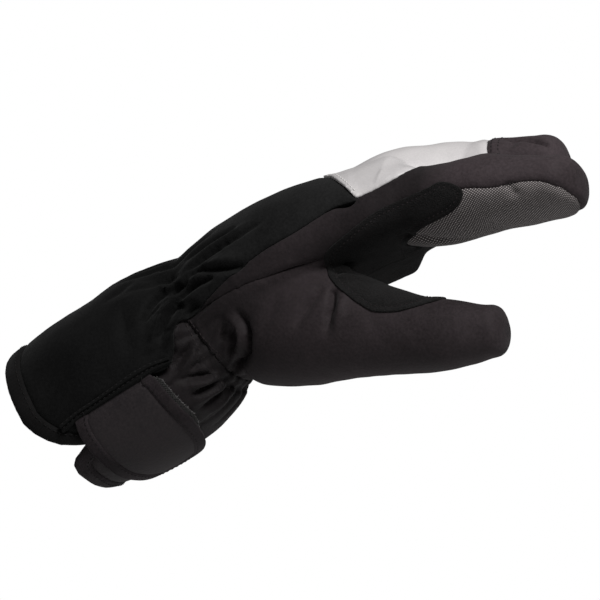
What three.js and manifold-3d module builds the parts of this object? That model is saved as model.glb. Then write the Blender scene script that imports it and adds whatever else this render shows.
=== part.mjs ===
// Padded winter lobster claw mitt for a left hand, in the form that a hand gives it.
// Index and middle finger share the near pocket, ring and little finger the far one.
// Millimetres. +X runs to the fingertips, +Z is up over the back of the hand, the thumb is on the -Y side.
// The origin is the middle of the wrist.
import * as THREE from 'three';
import Module from 'manifold-3d';

const wasm = await Module();
wasm.setup();

// Cuff, from the wrist back to its mouth
const CUFF_LENGTH = 99;
const CUFF_WIDTH = 104;
const CUFF_DEPTH = 90;

// Wrist, drawn in by elastic
const WRIST_WIDTH = 72;
const WRIST_DEPTH = 70;

// Palm and back of the hand, from the wrist to the knuckles
const PALM_LENGTH = 108;
const PALM_WIDTH = 98;
const PALM_DEPTH = 54;

// Pocket of the index and middle finger, from the knuckles on
const INDEX_POCKET_LENGTH = 103;
const INDEX_POCKET_WIDTH = 52;
const INDEX_POCKET_DEPTH = 37;

// Pocket of the ring and little finger, from the knuckles on
const LITTLE_POCKET_LENGTH = 82;
const LITTLE_POCKET_WIDTH = 48;
const LITTLE_POCKET_DEPTH = 38;

// Thumb, from the heel of the hand to its tip
const THUMB_LENGTH = 141;
const THUMB_WIDTH = 40;
const THUMB_DEPTH = 41;

// Shell fabric with its padding and lining, and the clearance between sewn pieces
const WALL = 2.5;
const SEAM_GAP = 0.35;

// Trim that lies on the shell
const HEM_WIDTH = 8;
const HEM_RISE = 0.9;
const PATCH_THICKNESS = 1.1;
const HOOK_THICKNESS = 1.1;
const TAB_THICKNESS = 2.2;
const TAB_BINDING_WIDTH = 5.5;
const TAB_BINDING_RISE = 0.5;
const FACING_THICKNESS = 1.2;

// Gathers that the wrist elastic makes
const GATHER_COUNT = 7;
const GATHER_DEPTH = 2.4;

// Roundness of the sections: 2 is an ellipse, more is squarer
const SECTION_POWER = 2.15;
const TIP_POWER = 2.6;

// Sections along each part of the glove, in shares of that part's own sizes.
// run and rise place the middle of the section along +X and +Z, side along +Y.
// width and depth are the section's sizes. roll and yaw turn it, in degrees.
// arch lowers the sides of the back, and cup hollows the palm side, in shares of the depth.
// Columns: run, rise, side, width, depth, roll, yaw, arch, cup
const CUFF_SECTIONS = [
  [-0.857, -0.516, 0, 1.00, 0.86, 0, 0, 0, 0],
  [-0.627, -0.402, 0, 0.96, 0.97, 0, 0, 0, 0],
  [-0.408, -0.285, 0, 0.92, 1.00, 0, 0, 0, 0],
  [-0.227, -0.162, 0, 0.85, 0.98, 0, 0, 0, 0],
];
const WRIST_SECTIONS = [
  [-0.064, -0.040, 0, 1.08, 1.09, 0, 0, 0, 0],
  [0, 0, 0, 1, 1, 0, 0, 0, 0],
];
const PALM_SECTIONS = [
  [0.131, 0.131, 0, 0.82, 1.22, 4, 2, 0.02, 0],
  [0.284, 0.249, 0, 0.90, 1.15, 8, 5, 0.055, 0.04],
  [0.467, 0.350, 0, 0.96, 1.06, 11, 8, 0.09, 0.07],
  [0.696, 0.434, 0, 1.00, 0.99, 14, 12, 0.13, 0.11],
  [0.869, 0.492, 0, 1.00, 1.00, 15, 14, 0.15, 0.13],
];
const INDEX_POCKET_SECTIONS = [
  [0.00, 0.053, -0.225, 0.92, 1.03, 15, 8, 0, 0],
  [0.23, 0.035, -0.245, 1.00, 1.00, 20, 4, 0, 0],
  [0.38, 0.060, -0.262, 1.00, 0.97, 20, 0, 0, 0],
  [0.53, 0.097, -0.272, 1.00, 0.97, 20, 0, 0, 0],
  [0.675, 0.106, -0.276, 0.96, 0.84, 20, 0, 0, 0],
  [0.82, 0.123, -0.276, 0.885, 0.76, 20, 0, 0, 0],
];
const LITTLE_POCKET_SECTIONS = [
  [-0.012, -0.063, 0.225, 0.96, 1.00, 10, 8, 0, 0],
  [0.155, 0.059, 0.235, 1.00, 1.00, 10, 6, 0, 0],
  [0.327, 0.155, 0.250, 1.00, 0.97, 10, 4, 0, 0],
  [0.512, 0.239, 0.262, 1.00, 0.95, 10, 0, 0, 0],
  [0.695, 0.280, 0.270, 0.92, 0.82, 10, 0, 0, 0],
  [0.85, 0.316, 0.274, 0.83, 0.71, 10, 0, 0, 0],
];
const THUMB_SECTIONS = [
  [0.000, 0.000, 0.000, 1.20, 1.27, 0, 0, 0, 0],
  [0.148, -0.006, -0.071, 1.30, 1.39, 0, 0, 0, 0],
  [0.291, 0.008, -0.127, 1.22, 1.46, 0, 0, 0, 0],
  [0.417, -0.002, -0.169, 1.10, 1.27, 0, 0, 0, 0],
  [0.525, -0.015, -0.197, 1.02, 1.09, 0, 0, 0, 0],
  [0.637, -0.023, -0.218, 0.95, 0.99, 0, 0, 0, 0],
  [0.749, -0.025, -0.240, 0.875, 0.89, 0, 0, 0, 0],
  [0.858, -0.023, -0.254, 0.80, 0.756, 0, 0, 0, 0],
  [0.937, -0.015, -0.261, 0.70, 0.644, 0, 0, 0, 0],
];

// Where the thumb starts, in shares of the palm's length, width and length
const THUMB_ROOT = [0.19, -0.061, -0.018];

// Length of each rounded end, as a share of the part's length or, at the knuckles, of the palm's
const KNUCKLE_END = 0.14;
const INDEX_POCKET_END = 0.18;
const LITTLE_POCKET_END = 0.15;
const THUMB_END = 0.063;

// Seams. at is the place along the glove: -1 the cuff's mouth, 0 the wrist, 1 the knuckles,
// or along a pocket or the thumb: 0 its root, 1 its tip. The angles run round the section in degrees:
// 0 at the thumb side, 90 over the back, 180 at the little finger side, 270 under the palm.
const FAR_SEAM = 184;
const WRIST_SEAM = -0.02;

// Columns: at, angle of the lower edge of the back panel at the thumb side
const BACK_EDGE = [
  [-0.96, -16], [-0.83, -14], [-0.66, -10], [-0.49, -8], [-0.35, -9], [-0.20, -13], [-0.13, -8],
  [-0.06, 0], [0.03, 2], [0.40, -1], [0.60, 0], [0.75, 6], [0.86, 7], [1.20, 12],
];
// Columns: at, angle of the seam between side panel and thumb
const THUMB_SEAM = [
  [-0.02, 3], [0.05, 1], [0.12, -2], [0.18, -6], [0.27, -12], [0.34, -18], [0.44, -27], [0.55, -35],
  [0.66, -41], [0.75, -50], [0.90, -58], [1.20, -66],
];
// Columns: at, from angle, to angle
const REFLECTIVE_ON_HAND = [
  [0.71, 84, 98], [0.74, 65, 122], [0.785, 43, 145], [0.82, 26, 158], [0.86, 7, 170], [1.30, 12, 170],
];
const REFLECTIVE_ON_INDEX = [[-0.10, 30, 150], [0.08, 40, 158], [0.20, 50, 162], [0.555, 56, 162]];
const REFLECTIVE_ON_LITTLE = [[-0.10, 14, 150], [0.20, 14, 158], [0.605, 20, 158]];
const INDEX_GRIP = [
  [0.20, 214, 338], [0.48, 212, 340], [0.59, 210, 336], [0.80, 210, 339], [0.90, 212, 328], [0.945, 236, 306],
];
const LITTLE_GRIP = [[0.24, 206, 334], [0.50, 204, 338], [0.80, 204, 338], [0.92, 214, 326]];
const HEM = HEM_WIDTH / CUFF_LENGTH;
const CUFF_HEM = [
  [-1.10, 12, FAR_SEAM], [-1, 5, FAR_SEAM], [-1 + 0.4 * HEM, -2, FAR_SEAM], [-1 + HEM, -13, FAR_SEAM],
];
const PALM_CUFF_START = -0.885;
const PALM_CUFF_HEM = [
  [PALM_CUFF_START, FAR_SEAM, 310], [PALM_CUFF_START + 0.3 * HEM, FAR_SEAM, 318],
  [PALM_CUFF_START + 0.7 * HEM, FAR_SEAM, 323],
];
const PALM_CUFF_EDGE = [
  [PALM_CUFF_START + 0.7 * HEM, FAR_SEAM, 323], [-0.79, FAR_SEAM, 328], [-0.74, FAR_SEAM, 334],
  [-0.70, FAR_SEAM, 350],
];
// Softshell that runs on over the pockets' backs and sides, and round their ends
const INDEX_SOFTSHELL = [[0.02, -30, 208], [1.05, -30, 208]];
const LITTLE_SOFTSHELL = [[0.10, -30, 202], [1.05, -30, 202]];
const POCKET_CAP = [0.88, 1.05];
const SIDE_PANEL_START = 0.1;
const SIDE_PANEL_TOP = 4;
const CLOSURE_TAB = [
  [-0.745, 324, 335], [-0.735, 306, 343], [-0.70, 282, 347], [-0.66, 262, 349], [-0.57, 256, 350],
  [-0.49, 256, 350], [-0.42, 260, 350], [-0.35, 272, 349], [-0.31, 288, 348], [-0.28, 300, 330],
];
const HOOK_PAD = [[-0.60, 284, 346], [-0.28, 290, 346], [-0.245, 300, 342]];
const SLIT_FACING = [
  [-0.83, -13, -7], [-0.66, -9, -3], [-0.49, -7, -1], [-0.35, -8, -2], [-0.20, -12, -6],
];

// Outline of the suede patch between thumb and index finger, seen from the thumb side.
// Columns: x and z from the wrist, in shares of the palm's length
const PATCH_OUTLINE = [
  [1.144, 0.601], [1.197, 0.626], [1.250, 0.621], [1.293, 0.602], [1.306, 0.575], [1.279, 0.527],
  [1.223, 0.487], [1.10, 0.43], [0.985, 0.36], [0.90, 0.27], [0.90, 0.20], [1.05, 0.15], [1.188, 0.111],
  [1.134, 0.085], [1.048, 0.060], [0.993, 0.050], [0.899, 0.053], [0.838, 0.079], [0.778, 0.115],
  [0.693, 0.176], [0.645, 0.229], [0.635, 0.278], [0.660, 0.325], [0.739, 0.385], [0.833, 0.453],
  [0.909, 0.502], [1.022, 0.552],
];

// The patch ends this share of the palm's width to the thumb's side of the middle
const PATCH_BACK = -0.12;

// Steps along and points round each part
const HAND_STEPS = 2;
const FINGER_STEPS = 1;
const END_RINGS = 3;
const HAND_POINTS = 26;
const FINGER_POINTS = 14;
const INNER_HAND_POINTS = 13;
const INNER_FINGER_POINTS = 9;
const WEDGE_POINTS = 5;
const WEDGE_STEP = 0.2;
const TAB_STEPS = 6;

// Edges shorter than this are left over from cuts
const SHORTEST_EDGE = 0.02;

const degrees = THREE.MathUtils.degToRad;

// Sections of one part as plain sizes. Sizes: length, width, depth, and across for the side column
function sections(table, origin, sizes) {
  return table.map(([run, rise, side, width, depth, roll, yaw, arch, cup]) => ({
    x: origin.x + run * sizes.length,
    y: origin.y + side * sizes.across,
    z: origin.z + rise * sizes.length,
    halfWidth: (width * sizes.width) / 2,
    halfDepth: (depth * sizes.depth) / 2,
    roll,
    yaw,
    arch: arch * sizes.depth,
    cup: cup * sizes.depth,
    size: 1,
  }));
}

// A smooth value through four equally spaced ones
function smooth(before, start, end, after, t) {
  const slopeIn = end - before;
  const bend = 2 * before - 5 * start + 4 * end - after;
  const twist = after - before + 3 * (start - end);
  return 0.5 * (2 * start + slopeIn * t + bend * t * t + twist * t ** 3);
}

// A tube is a row of frames along its middle line, with a rounded end if it has an end length
function makeTube(rows, endLength, steps, zeroRow = 0) {
  const frames = [];
  rows.slice(0, -1).forEach((start, index) => {
    const end = rows[index + 1];
    for (let step = 0; step < steps; step += 1) {
      const frame = {};
      for (const key of Object.keys(start)) {
        const before = index > 0 ? rows[index - 1][key] : 2 * start[key] - end[key];
        const after = index + 2 < rows.length ? rows[index + 2][key] : 2 * end[key] - start[key];
        frame[key] = smooth(before, start[key], end[key], after, step / steps);
      }
      frames.push(frame);
    }
  });
  const last = rows.at(-1);
  frames.push({ ...last });
  const count = frames.length;
  const middle = (frame) => new THREE.Vector3(frame.x, frame.y, frame.z);
  const heading = middle(last).sub(middle(frames[count - 2])).normalize();
  for (let ring = 1; ring <= END_RINGS; ring += 1) {
    const reach = Math.sin((ring / END_RINGS) * (Math.PI / 2));
    const size = Math.max(0.02, 1 - reach ** TIP_POWER) ** (1 / TIP_POWER);
    const place = middle(last).addScaledVector(heading, reach * endLength);
    frames.push({ ...last, x: place.x, y: place.y, z: place.z, size });
  }
  const middles = frames.map(middle);
  const lengths = [0];
  for (let index = 1; index < middles.length; index += 1) {
    lengths.push(lengths[index - 1] + middles[index].distanceTo(middles[index - 1]));
  }
  const zero = lengths[zeroRow * steps];
  const ahead = (zeroRow > 0 ? lengths[count - 1] : lengths.at(-1)) - zero;
  frames.forEach((frame, index) => {
    const past = lengths[index] - zero;
    const next = middles[Math.min(index + 1, middles.length - 1)];
    const along = next.clone().sub(middles[Math.max(index - 1, 0)]).normalize();
    const across = new THREE.Vector3(0, 1, 0).addScaledVector(along, -along.y).normalize();
    const up = along.clone().cross(across);
    const roll = degrees(frame.roll);
    const yaw = degrees(frame.yaw);
    frame.at = past < 0 ? past / zero : past / ahead;
    frame.middle = middles[index];
    frame.upward = up.clone().multiplyScalar(Math.cos(roll)).addScaledVector(across, Math.sin(roll));
    frame.sideways = across.multiplyScalar(Math.cos(roll)).addScaledVector(up, -Math.sin(roll));
    frame.sideways.multiplyScalar(Math.cos(yaw)).addScaledVector(along, -Math.sin(yaw));
  });
  return { frames, behind: zero > 0 ? zero : ahead, ahead };
}

// The frame at any place along a tube, carried on straight past its ends and not rounded off there
function frameAt(tube, at) {
  const { frames } = tube;
  let index = frames.findIndex((frame) => frame.at > at) - 1;
  if (index === -2) index = frames.length - 2;
  index = Math.max(index, 0);
  const [start, end] = [frames[index], frames[index + 1]];
  const share = (at - start.at) / (end.at - start.at);
  const inside = THREE.MathUtils.clamp(share, 0, 1);
  const frame = { at, size: 1, middle: start.middle.clone().lerp(end.middle, share) };
  for (const key of ['halfWidth', 'halfDepth', 'arch', 'cup']) {
    frame[key] = THREE.MathUtils.lerp(start[key], end[key], inside);
  }
  frame.upward = start.upward.clone().lerp(end.upward, inside);
  frame.sideways = start.sideways.clone().lerp(end.sideways, inside);
  return frame;
}

// How far the wrist gathers pull the fabric in
const GATHER_REACH = 0.2;
function gatherShare(at) {
  return Math.exp(-((at / GATHER_REACH) ** 2));
}

// A point of a section: reach scales it from the middle, grow adds to its size
function sectionPoint(frame, angle, { grow = 0, reach = 1 }) {
  const turn = degrees(angle);
  const across = Math.sign(Math.cos(turn)) * Math.abs(Math.cos(turn)) ** (2 / SECTION_POWER);
  const high = Math.sign(Math.sin(turn)) * Math.abs(Math.sin(turn)) ** (2 / SECTION_POWER);
  const hollow = high < 0 ? frame.cup * (1 - across ** 2) ** 2 : 0;
  const shape = (hollow - frame.arch * across ** 2) * frame.size;
  const height = (frame.halfDepth * frame.size + grow) * high + shape;
  return frame.middle.clone()
    .addScaledVector(frame.sideways, -across * (frame.halfWidth * frame.size + grow) * reach)
    .addScaledVector(frame.upward, height * reach);
}

// A closed solid from points and triangles, turned so that its faces point out
function solidFrom(points, triangles) {
  const vertProperties = new Float32Array(points.flatMap((point) => point.toArray()));
  const build = (triVerts) => new wasm.Manifold(new wasm.Mesh({ numProp: 3, vertProperties, triVerts }));
  const solid = build(new Uint32Array(triangles.flat()));
  if (solid.volume() > 0) return solid;
  return build(new Uint32Array(triangles.map(([a, b, c]) => [a, c, b]).flat()));
}

// A closed solid through rings of points, each ring closed with a fan from its first point
function loft(rings) {
  const size = rings[0].length;
  const triangles = [];
  for (let ring = 0; ring + 1 < rings.length; ring += 1) {
    for (let point = 0; point < size; point += 1) {
      const a = ring * size + point;
      const b = ring * size + ((point + 1) % size);
      triangles.push([a, b, b + size], [a, b + size, a + size]);
    }
  }
  const lastRing = (rings.length - 1) * size;
  for (let point = 1; point + 1 < size; point += 1) {
    triangles.push([0, point + 1, point], [lastRing, lastRing + point, lastRing + point + 1]);
  }
  return solidFrom(rings.flat(), triangles);
}

// The whole of a tube, grown or shrunk. Its open end can be carried on by some millimetres
function tubeSolid(tube, points, { grow = 0, gathered = false, carryOn = 0 }) {
  const frames = [...tube.frames];
  if (carryOn > 0) frames.unshift(frameAt(tube, frames[0].at - carryOn / tube.behind));
  return loft(frames.map((frame) => Array.from({ length: points }, (_, index) => {
    const angle = (index / points) * 360;
    const wave = 0.5 - 0.5 * Math.cos(degrees(angle * GATHER_COUNT));
    const pull = GATHER_DEPTH * gatherShare(frame.at);
    let pulled = 0;
    if (gathered) pulled = grow < 0 ? pull : pull * wave;
    return sectionPoint(frame, angle, { grow: grow - pulled });
  })));
}

// A cutting solid: the part of the space round a tube between two angles, from its middle line out.
// A spread widens it on all its sides, and its end sections then move square to themselves.
function wedge(tube, table, reach, spread = 0) {
  const places = [];
  table.forEach(([at, from, to], index) => {
    if (index > 0) {
      const [atBefore, fromBefore, toBefore] = table[index - 1];
      const steps = Math.ceil((at - atBefore) / WEDGE_STEP);
      for (let step = 1; step < steps; step += 1) {
        const share = step / steps;
        const mix = (start, end) => THREE.MathUtils.lerp(start, end, share);
        places.push([mix(atBefore, at), mix(fromBefore, from), mix(toBefore, to), 0]);
      }
    }
    places.push([at, from, to, 0]);
  });
  if (spread !== 0) {
    const outward = [[...places[0].slice(0, 3), -spread], [...places.at(-1).slice(0, 3), spread]];
    if (spread < 0) places.splice(0, 1);
    if (spread < 0) places.pop();
    places.unshift(outward[0]);
    places.push(outward[1]);
  }
  return loft(places.map(([at, from, to, shift]) => {
    const frame = frameAt(tube, at);
    const ahead = frame.sideways.clone().cross(frame.upward).normalize();
    frame.middle.addScaledVector(ahead, shift);
    const extra = THREE.MathUtils.radToDeg(spread / Math.min(frame.halfWidth, frame.halfDepth));
    const angles = Array.from({ length: WEDGE_POINTS + 1 }, (_, point) => (
      THREE.MathUtils.lerp(from, to, point / WEDGE_POINTS)
    ));
    if (spread > 0) {
      angles.unshift(from - extra);
      angles.push(to + extra);
    } else {
      angles[0] -= extra;
      angles[WEDGE_POINTS] += extra;
    }
    const ring = [frame.middle];
    for (const angle of angles) ring.push(sectionPoint(frame, angle, { reach, grow: spread }));
    return ring;
  }));
}

// A cutting solid: the whole space round a tube between two places along it
function collar(tube, from, to, reach, spread) {
  const unit = (at) => (at < 0 ? tube.behind : tube.ahead);
  return loft([from - spread / unit(from), (from + to) / 2, to + spread / unit(to)].map((at) => (
    Array.from({ length: FINGER_POINTS }, (_, index) => (
      sectionPoint(frameAt(tube, at), (index / FINGER_POINTS) * 360, { reach, grow: spread })
    ))
  )));
}

// The biggest body of a solid that a cut left in several
function biggest(solid) {
  return solid.decompose().reduce((best, body) => (body.volume() > best.volume() ? body : best));
}

const ORIGIN = new THREE.Vector3(0, 0, 0);
const cuffSizes = { length: CUFF_LENGTH, width: CUFF_WIDTH, depth: CUFF_DEPTH, across: CUFF_WIDTH };
const wristSizes = { length: CUFF_LENGTH, width: WRIST_WIDTH, depth: WRIST_DEPTH, across: WRIST_WIDTH };
const palmSizes = { length: PALM_LENGTH, width: PALM_WIDTH, depth: PALM_DEPTH, across: PALM_WIDTH };
const palmRows = sections(PALM_SECTIONS, ORIGIN, palmSizes);
const knuckles = palmRows.at(-1);
const handRows = [
  ...sections(CUFF_SECTIONS, ORIGIN, cuffSizes),
  ...sections(WRIST_SECTIONS, ORIGIN, wristSizes),
  ...palmRows,
];
const indexRows = sections(INDEX_POCKET_SECTIONS, knuckles, {
  length: INDEX_POCKET_LENGTH, width: INDEX_POCKET_WIDTH, depth: INDEX_POCKET_DEPTH, across: PALM_WIDTH,
});
const littleRows = sections(LITTLE_POCKET_SECTIONS, knuckles, {
  length: LITTLE_POCKET_LENGTH, width: LITTLE_POCKET_WIDTH, depth: LITTLE_POCKET_DEPTH, across: PALM_WIDTH,
});
const thumbRoot = new THREE.Vector3(
  THUMB_ROOT[0] * PALM_LENGTH, THUMB_ROOT[1] * PALM_WIDTH, THUMB_ROOT[2] * PALM_LENGTH,
);
const thumbRows = sections(THUMB_SECTIONS, thumbRoot, {
  length: THUMB_LENGTH, width: THUMB_WIDTH, depth: THUMB_DEPTH, across: THUMB_LENGTH,
});

const WRIST_ROW = CUFF_SECTIONS.length + WRIST_SECTIONS.length - 1;
const hand = makeTube(handRows, KNUCKLE_END * PALM_LENGTH, HAND_STEPS, WRIST_ROW);
const indexPocket = makeTube(indexRows, INDEX_POCKET_END * INDEX_POCKET_LENGTH, FINGER_STEPS);
const littlePocket = makeTube(littleRows, LITTLE_POCKET_END * LITTLE_POCKET_LENGTH, FINGER_STEPS);
const thumbTube = makeTube(thumbRows, THUMB_END * THUMB_LENGTH, FINGER_STEPS);

// Hand, pockets and thumb joined, grown by some millimetres
function gloveForm({ grow, carryOn = 0, handPoints = HAND_POINTS, fingerPoints = FINGER_POINTS }) {
  const whole = tubeSolid(hand, handPoints, { grow, carryOn, gathered: grow <= 0 });
  return [indexPocket, littlePocket, thumbTube].reduce(
    (form, tube) => form.add(tubeSolid(tube, fingerPoints, { grow })),
    whole,
  );
}

// The hollow runs out of the cuff's mouth, so that the glove is open there
const MOUTH_CLEARANCE = CUFF_LENGTH / 8;
const hollow = gloveForm({
  grow: -WALL,
  carryOn: MOUTH_CLEARANCE,
  handPoints: INNER_HAND_POINTS,
  fingerPoints: INNER_FINGER_POINTS,
});
let uncut = gloveForm({ grow: 0 }).subtract(hollow);

// Takes one piece of the shell away. region gives its cutting solid, spread by a clearance
function take(region) {
  const piece = biggest(uncut.intersect(region(0)));
  uncut = uncut.subtract(region(SEAM_GAP));
  return piece;
}

// How far the cutting solids reach, as a share of the section's size
const CLOSE_REACH = 1.25;
const POCKET_REACH = 1.3;
const FULL_REACH = 1.6;
const THUMB_REACH = 9;
const THUMB_BEHIND = -0.5;

// The angles of a table's row at any place between its first and last
function rowAt(table, at) {
  const index = THREE.MathUtils.clamp(table.findIndex((row) => row[0] >= at), 1, table.length - 1);
  const [start, end] = [table[index - 1], table[index]];
  const share = (at - start[0]) / (end[0] - start[0]);
  return start.map((value, column) => THREE.MathUtils.lerp(value, end[column], share));
}

// Adds an upper angle to a table of one seam, to make a table of two
const upTo = (table, angle) => table.map(([at, from]) => [at, from, angle]);

function cutThumb() {
  return take((spread) => tubeSolid(thumbTube, FINGER_POINTS, { grow: THUMB_REACH + spread })
    .subtract(wedge(hand, upTo(THUMB_SEAM, FAR_SEAM), CLOSE_REACH, -spread))
    .subtract(collar(hand, THUMB_BEHIND, WRIST_SEAM, FULL_REACH, -spread)));
}

function cutReflectivePanel() {
  return take((spread) => wedge(hand, REFLECTIVE_ON_HAND, CLOSE_REACH, spread)
    .add(wedge(indexPocket, REFLECTIVE_ON_INDEX, POCKET_REACH, spread))
    .add(wedge(littlePocket, REFLECTIVE_ON_LITTLE, POCKET_REACH, spread)));
}

function cutCuffPalmPanel() {
  const slit = BACK_EDGE.filter(([at]) => at > PALM_CUFF_EDGE.at(-1)[0] && at < WRIST_SEAM);
  const table = [
    ...PALM_CUFF_EDGE,
    ...slit.map(([at, angle]) => [at, FAR_SEAM, 360 + angle]),
    [WRIST_SEAM, FAR_SEAM, 360],
  ];
  return take((spread) => wedge(hand, table, FULL_REACH, spread));
}

function cutSidePanel() {
  const seam = THUMB_SEAM.filter(([at]) => at > SIDE_PANEL_START);
  return take((spread) => wedge(hand, upTo(seam, SIDE_PANEL_TOP), CLOSE_REACH, spread)
    .add(wedge(indexPocket, INDEX_SOFTSHELL, POCKET_REACH, spread))
    .add(collar(indexPocket, ...POCKET_CAP, POCKET_REACH, spread)));
}

function cutLittleBack() {
  return take((spread) => wedge(littlePocket, LITTLE_SOFTSHELL, POCKET_REACH, spread)
    .add(collar(littlePocket, ...POCKET_CAP, POCKET_REACH, spread)));
}

function cutCuffBackPanel() {
  const edge = [...BACK_EDGE.filter(([at]) => at < WRIST_SEAM), rowAt(BACK_EDGE, WRIST_SEAM)];
  return take((spread) => wedge(hand, upTo(edge, FAR_SEAM), CLOSE_REACH, spread));
}

function cutBackPanel() {
  return take((spread) => wedge(hand, upTo(BACK_EDGE, FAR_SEAM), CLOSE_REACH, spread));
}

// A layer that lies on the cuff, between two heights above the shell
function cuffLayer(low, high, table) {
  const layer = tubeSolid(hand, HAND_POINTS, { grow: high })
    .subtract(tubeSolid(hand, HAND_POINTS, { grow: low, carryOn: MOUTH_CLEARANCE }));
  return biggest(layer.intersect(wedge(hand, table, FULL_REACH)));
}

// The hems are cut from a shell a little thicker than the cuff
function cutHem(table) {
  const thick = tubeSolid(hand, HAND_POINTS, { grow: HEM_RISE })
    .subtract(tubeSolid(hand, HAND_POINTS, { grow: -WALL, carryOn: MOUTH_CLEARANCE }));
  uncut = uncut.subtract(wedge(hand, table, FULL_REACH, SEAM_GAP));
  return biggest(thick.intersect(wedge(hand, table, FULL_REACH)));
}

// The suede patch is the part of a thin layer on the glove inside its outline
function makeCrotchPatch() {
  const outline = new THREE.Shape(PATCH_OUTLINE.map(
    ([x, z]) => new THREE.Vector2(x * PALM_LENGTH, z * PALM_LENGTH),
  ));
  const depth = PALM_WIDTH;
  const prism = new THREE.ExtrudeGeometry(outline, { depth, bevelEnabled: false });
  prism.rotateX(Math.PI / 2);
  prism.translate(0, PATCH_BACK * PALM_WIDTH, 0);
  const points = [];
  const found = new Map();
  const triangles = [];
  const place = prism.getAttribute('position');
  for (let index = 0; index < place.count; index += 1) {
    const point = new THREE.Vector3().fromBufferAttribute(place, index);
    const key = point.toArray().map((value) => value.toFixed(3)).join(' ');
    if (!found.has(key)) {
      found.set(key, points.length);
      points.push(point);
    }
    if (index % 3 === 0) triangles.push([]);
    triangles.at(-1).push(found.get(key));
  }
  const layer = gloveForm({ grow: SEAM_GAP + PATCH_THICKNESS }).subtract(gloveForm({ grow: SEAM_GAP }));
  return biggest(layer.intersect(solidFrom(points, triangles)));
}

// The tab's field: its outline moved in by the width of the binding, but not at the slit
function insetTab() {
  const inset = TAB_BINDING_WIDTH / CUFF_LENGTH;
  const first = CLOSURE_TAB[0][0] + inset;
  const last = CLOSURE_TAB.at(-1)[0] - inset;
  const turn = THREE.MathUtils.radToDeg(CUFF_LENGTH / (CUFF_WIDTH / 2));
  return Array.from({ length: TAB_STEPS + 1 }, (_, step) => {
    const at = THREE.MathUtils.lerp(first, last, step / TAB_STEPS);
    const edges = [-1, -0.7, 0, 0.7, 1].map((side) => {
      const away = side * inset;
      return rowAt(CLOSURE_TAB, at + away)[1] + turn * Math.sqrt(inset ** 2 - away ** 2);
    });
    return [at, Math.max(...edges), rowAt(CLOSURE_TAB, at)[2]];
  });
}

function makeTabBinding() {
  const low = SEAM_GAP * 2 + HOOK_THICKNESS;
  const ring = cuffLayer(low, low + TAB_THICKNESS + TAB_BINDING_RISE, CLOSURE_TAB);
  return biggest(ring.subtract(wedge(hand, insetTab(), FULL_REACH, SEAM_GAP)));
}

function makeClosureTab() {
  const low = SEAM_GAP * 2 + HOOK_THICKNESS;
  return cuffLayer(low, low + TAB_THICKNESS, insetTab());
}

// Joins the ends of edges too short to matter, which the cuts leave, and drops what that flattens
function withoutShortEdges(points, triangles) {
  const joinedTo = points.map((_, index) => index);
  const root = (index) => (joinedTo[index] === index ? index : root(joinedTo[index]));
  for (const corners of triangles) {
    corners.forEach((corner, index) => {
      const next = corners[(index + 1) % 3];
      if (points[corner].distanceTo(points[next]) < SHORTEST_EDGE) joinedTo[root(corner)] = root(next);
    });
  }
  const kept = new Map();
  for (const corners of triangles.map((triangle) => triangle.map(root))) {
    if (new Set(corners).size < 3) continue;
    const key = [...corners].sort((a, b) => a - b).join(' ');
    if (!kept.delete(key)) kept.set(key, corners);
  }
  return [...kept.values()];
}

function meshOf(name, solid, colour, roughness) {
  const { numProp, vertProperties, triVerts } = solid.getMesh();
  const points = [];
  for (let index = 0; index < vertProperties.length; index += numProp) {
    points.push(new THREE.Vector3().fromArray(vertProperties, index));
  }
  const triangles = [];
  for (let index = 0; index < triVerts.length; index += 3) {
    triangles.push([...triVerts.subarray(index, index + 3)]);
  }
  const geometry = new THREE.BufferGeometry().setFromPoints(points);
  geometry.setIndex(withoutShortEdges(points, triangles).flat());
  geometry.computeVertexNormals();
  const material = new THREE.MeshStandardMaterial({ color: colour, roughness, metalness: 0 });
  const mesh = new THREE.Mesh(geometry, material);
  mesh.name = name;
  return mesh;
}

const SOFTSHELL = 0x2b2729;
const SUEDE = 0x191a18;
const REFLECTIVE = 0xc9c6c4;
const GRIP = 0x4c4a48;
const BINDING = 0x353133;

// The order of the cuts matters: each piece is taken from what the ones before it left
const pieces = [
  ['cuff_hem', cutHem(CUFF_HEM), BINDING, 0.8],
  ['cuff_palm_hem', cutHem(PALM_CUFF_HEM), BINDING, 0.8],
  ['thumb', cutThumb(), SOFTSHELL, 0.85],
  ['reflective_panel', cutReflectivePanel(), REFLECTIVE, 0.5],
  ['cuff_palm_panel', cutCuffPalmPanel(), SOFTSHELL, 0.85],
  ['index_middle_grip', take((spread) => wedge(indexPocket, INDEX_GRIP, POCKET_REACH, spread)), GRIP, 0.9],
  ['ring_little_grip', take((spread) => wedge(littlePocket, LITTLE_GRIP, POCKET_REACH, spread)), GRIP, 0.9],
  ['index_side_panel', cutSidePanel(), SOFTSHELL, 0.85],
  ['ring_little_back', cutLittleBack(), SOFTSHELL, 0.85],
  ['cuff_back_panel', cutCuffBackPanel(), SOFTSHELL, 0.85],
  ['back_panel', cutBackPanel(), SOFTSHELL, 0.85],
  ['palm_panel', biggest(uncut), SUEDE, 0.95],
  ['crotch_patch', makeCrotchPatch(), SUEDE, 0.95],
  ['slit_facing', cuffLayer(SEAM_GAP, SEAM_GAP + FACING_THICKNESS, SLIT_FACING), SOFTSHELL, 0.85],
  ['hook_pad', cuffLayer(SEAM_GAP, SEAM_GAP + HOOK_THICKNESS, HOOK_PAD), BINDING, 0.95],
  ['closure_tab', makeClosureTab(), SOFTSHELL, 0.8],
  ['tab_binding', makeTabBinding(), BINDING, 0.8],
];

const mitt = new THREE.Group();
for (const [name, solid, colour, roughness] of pieces) mitt.add(meshOf(name, solid, colour, roughness));

export default mitt;
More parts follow.
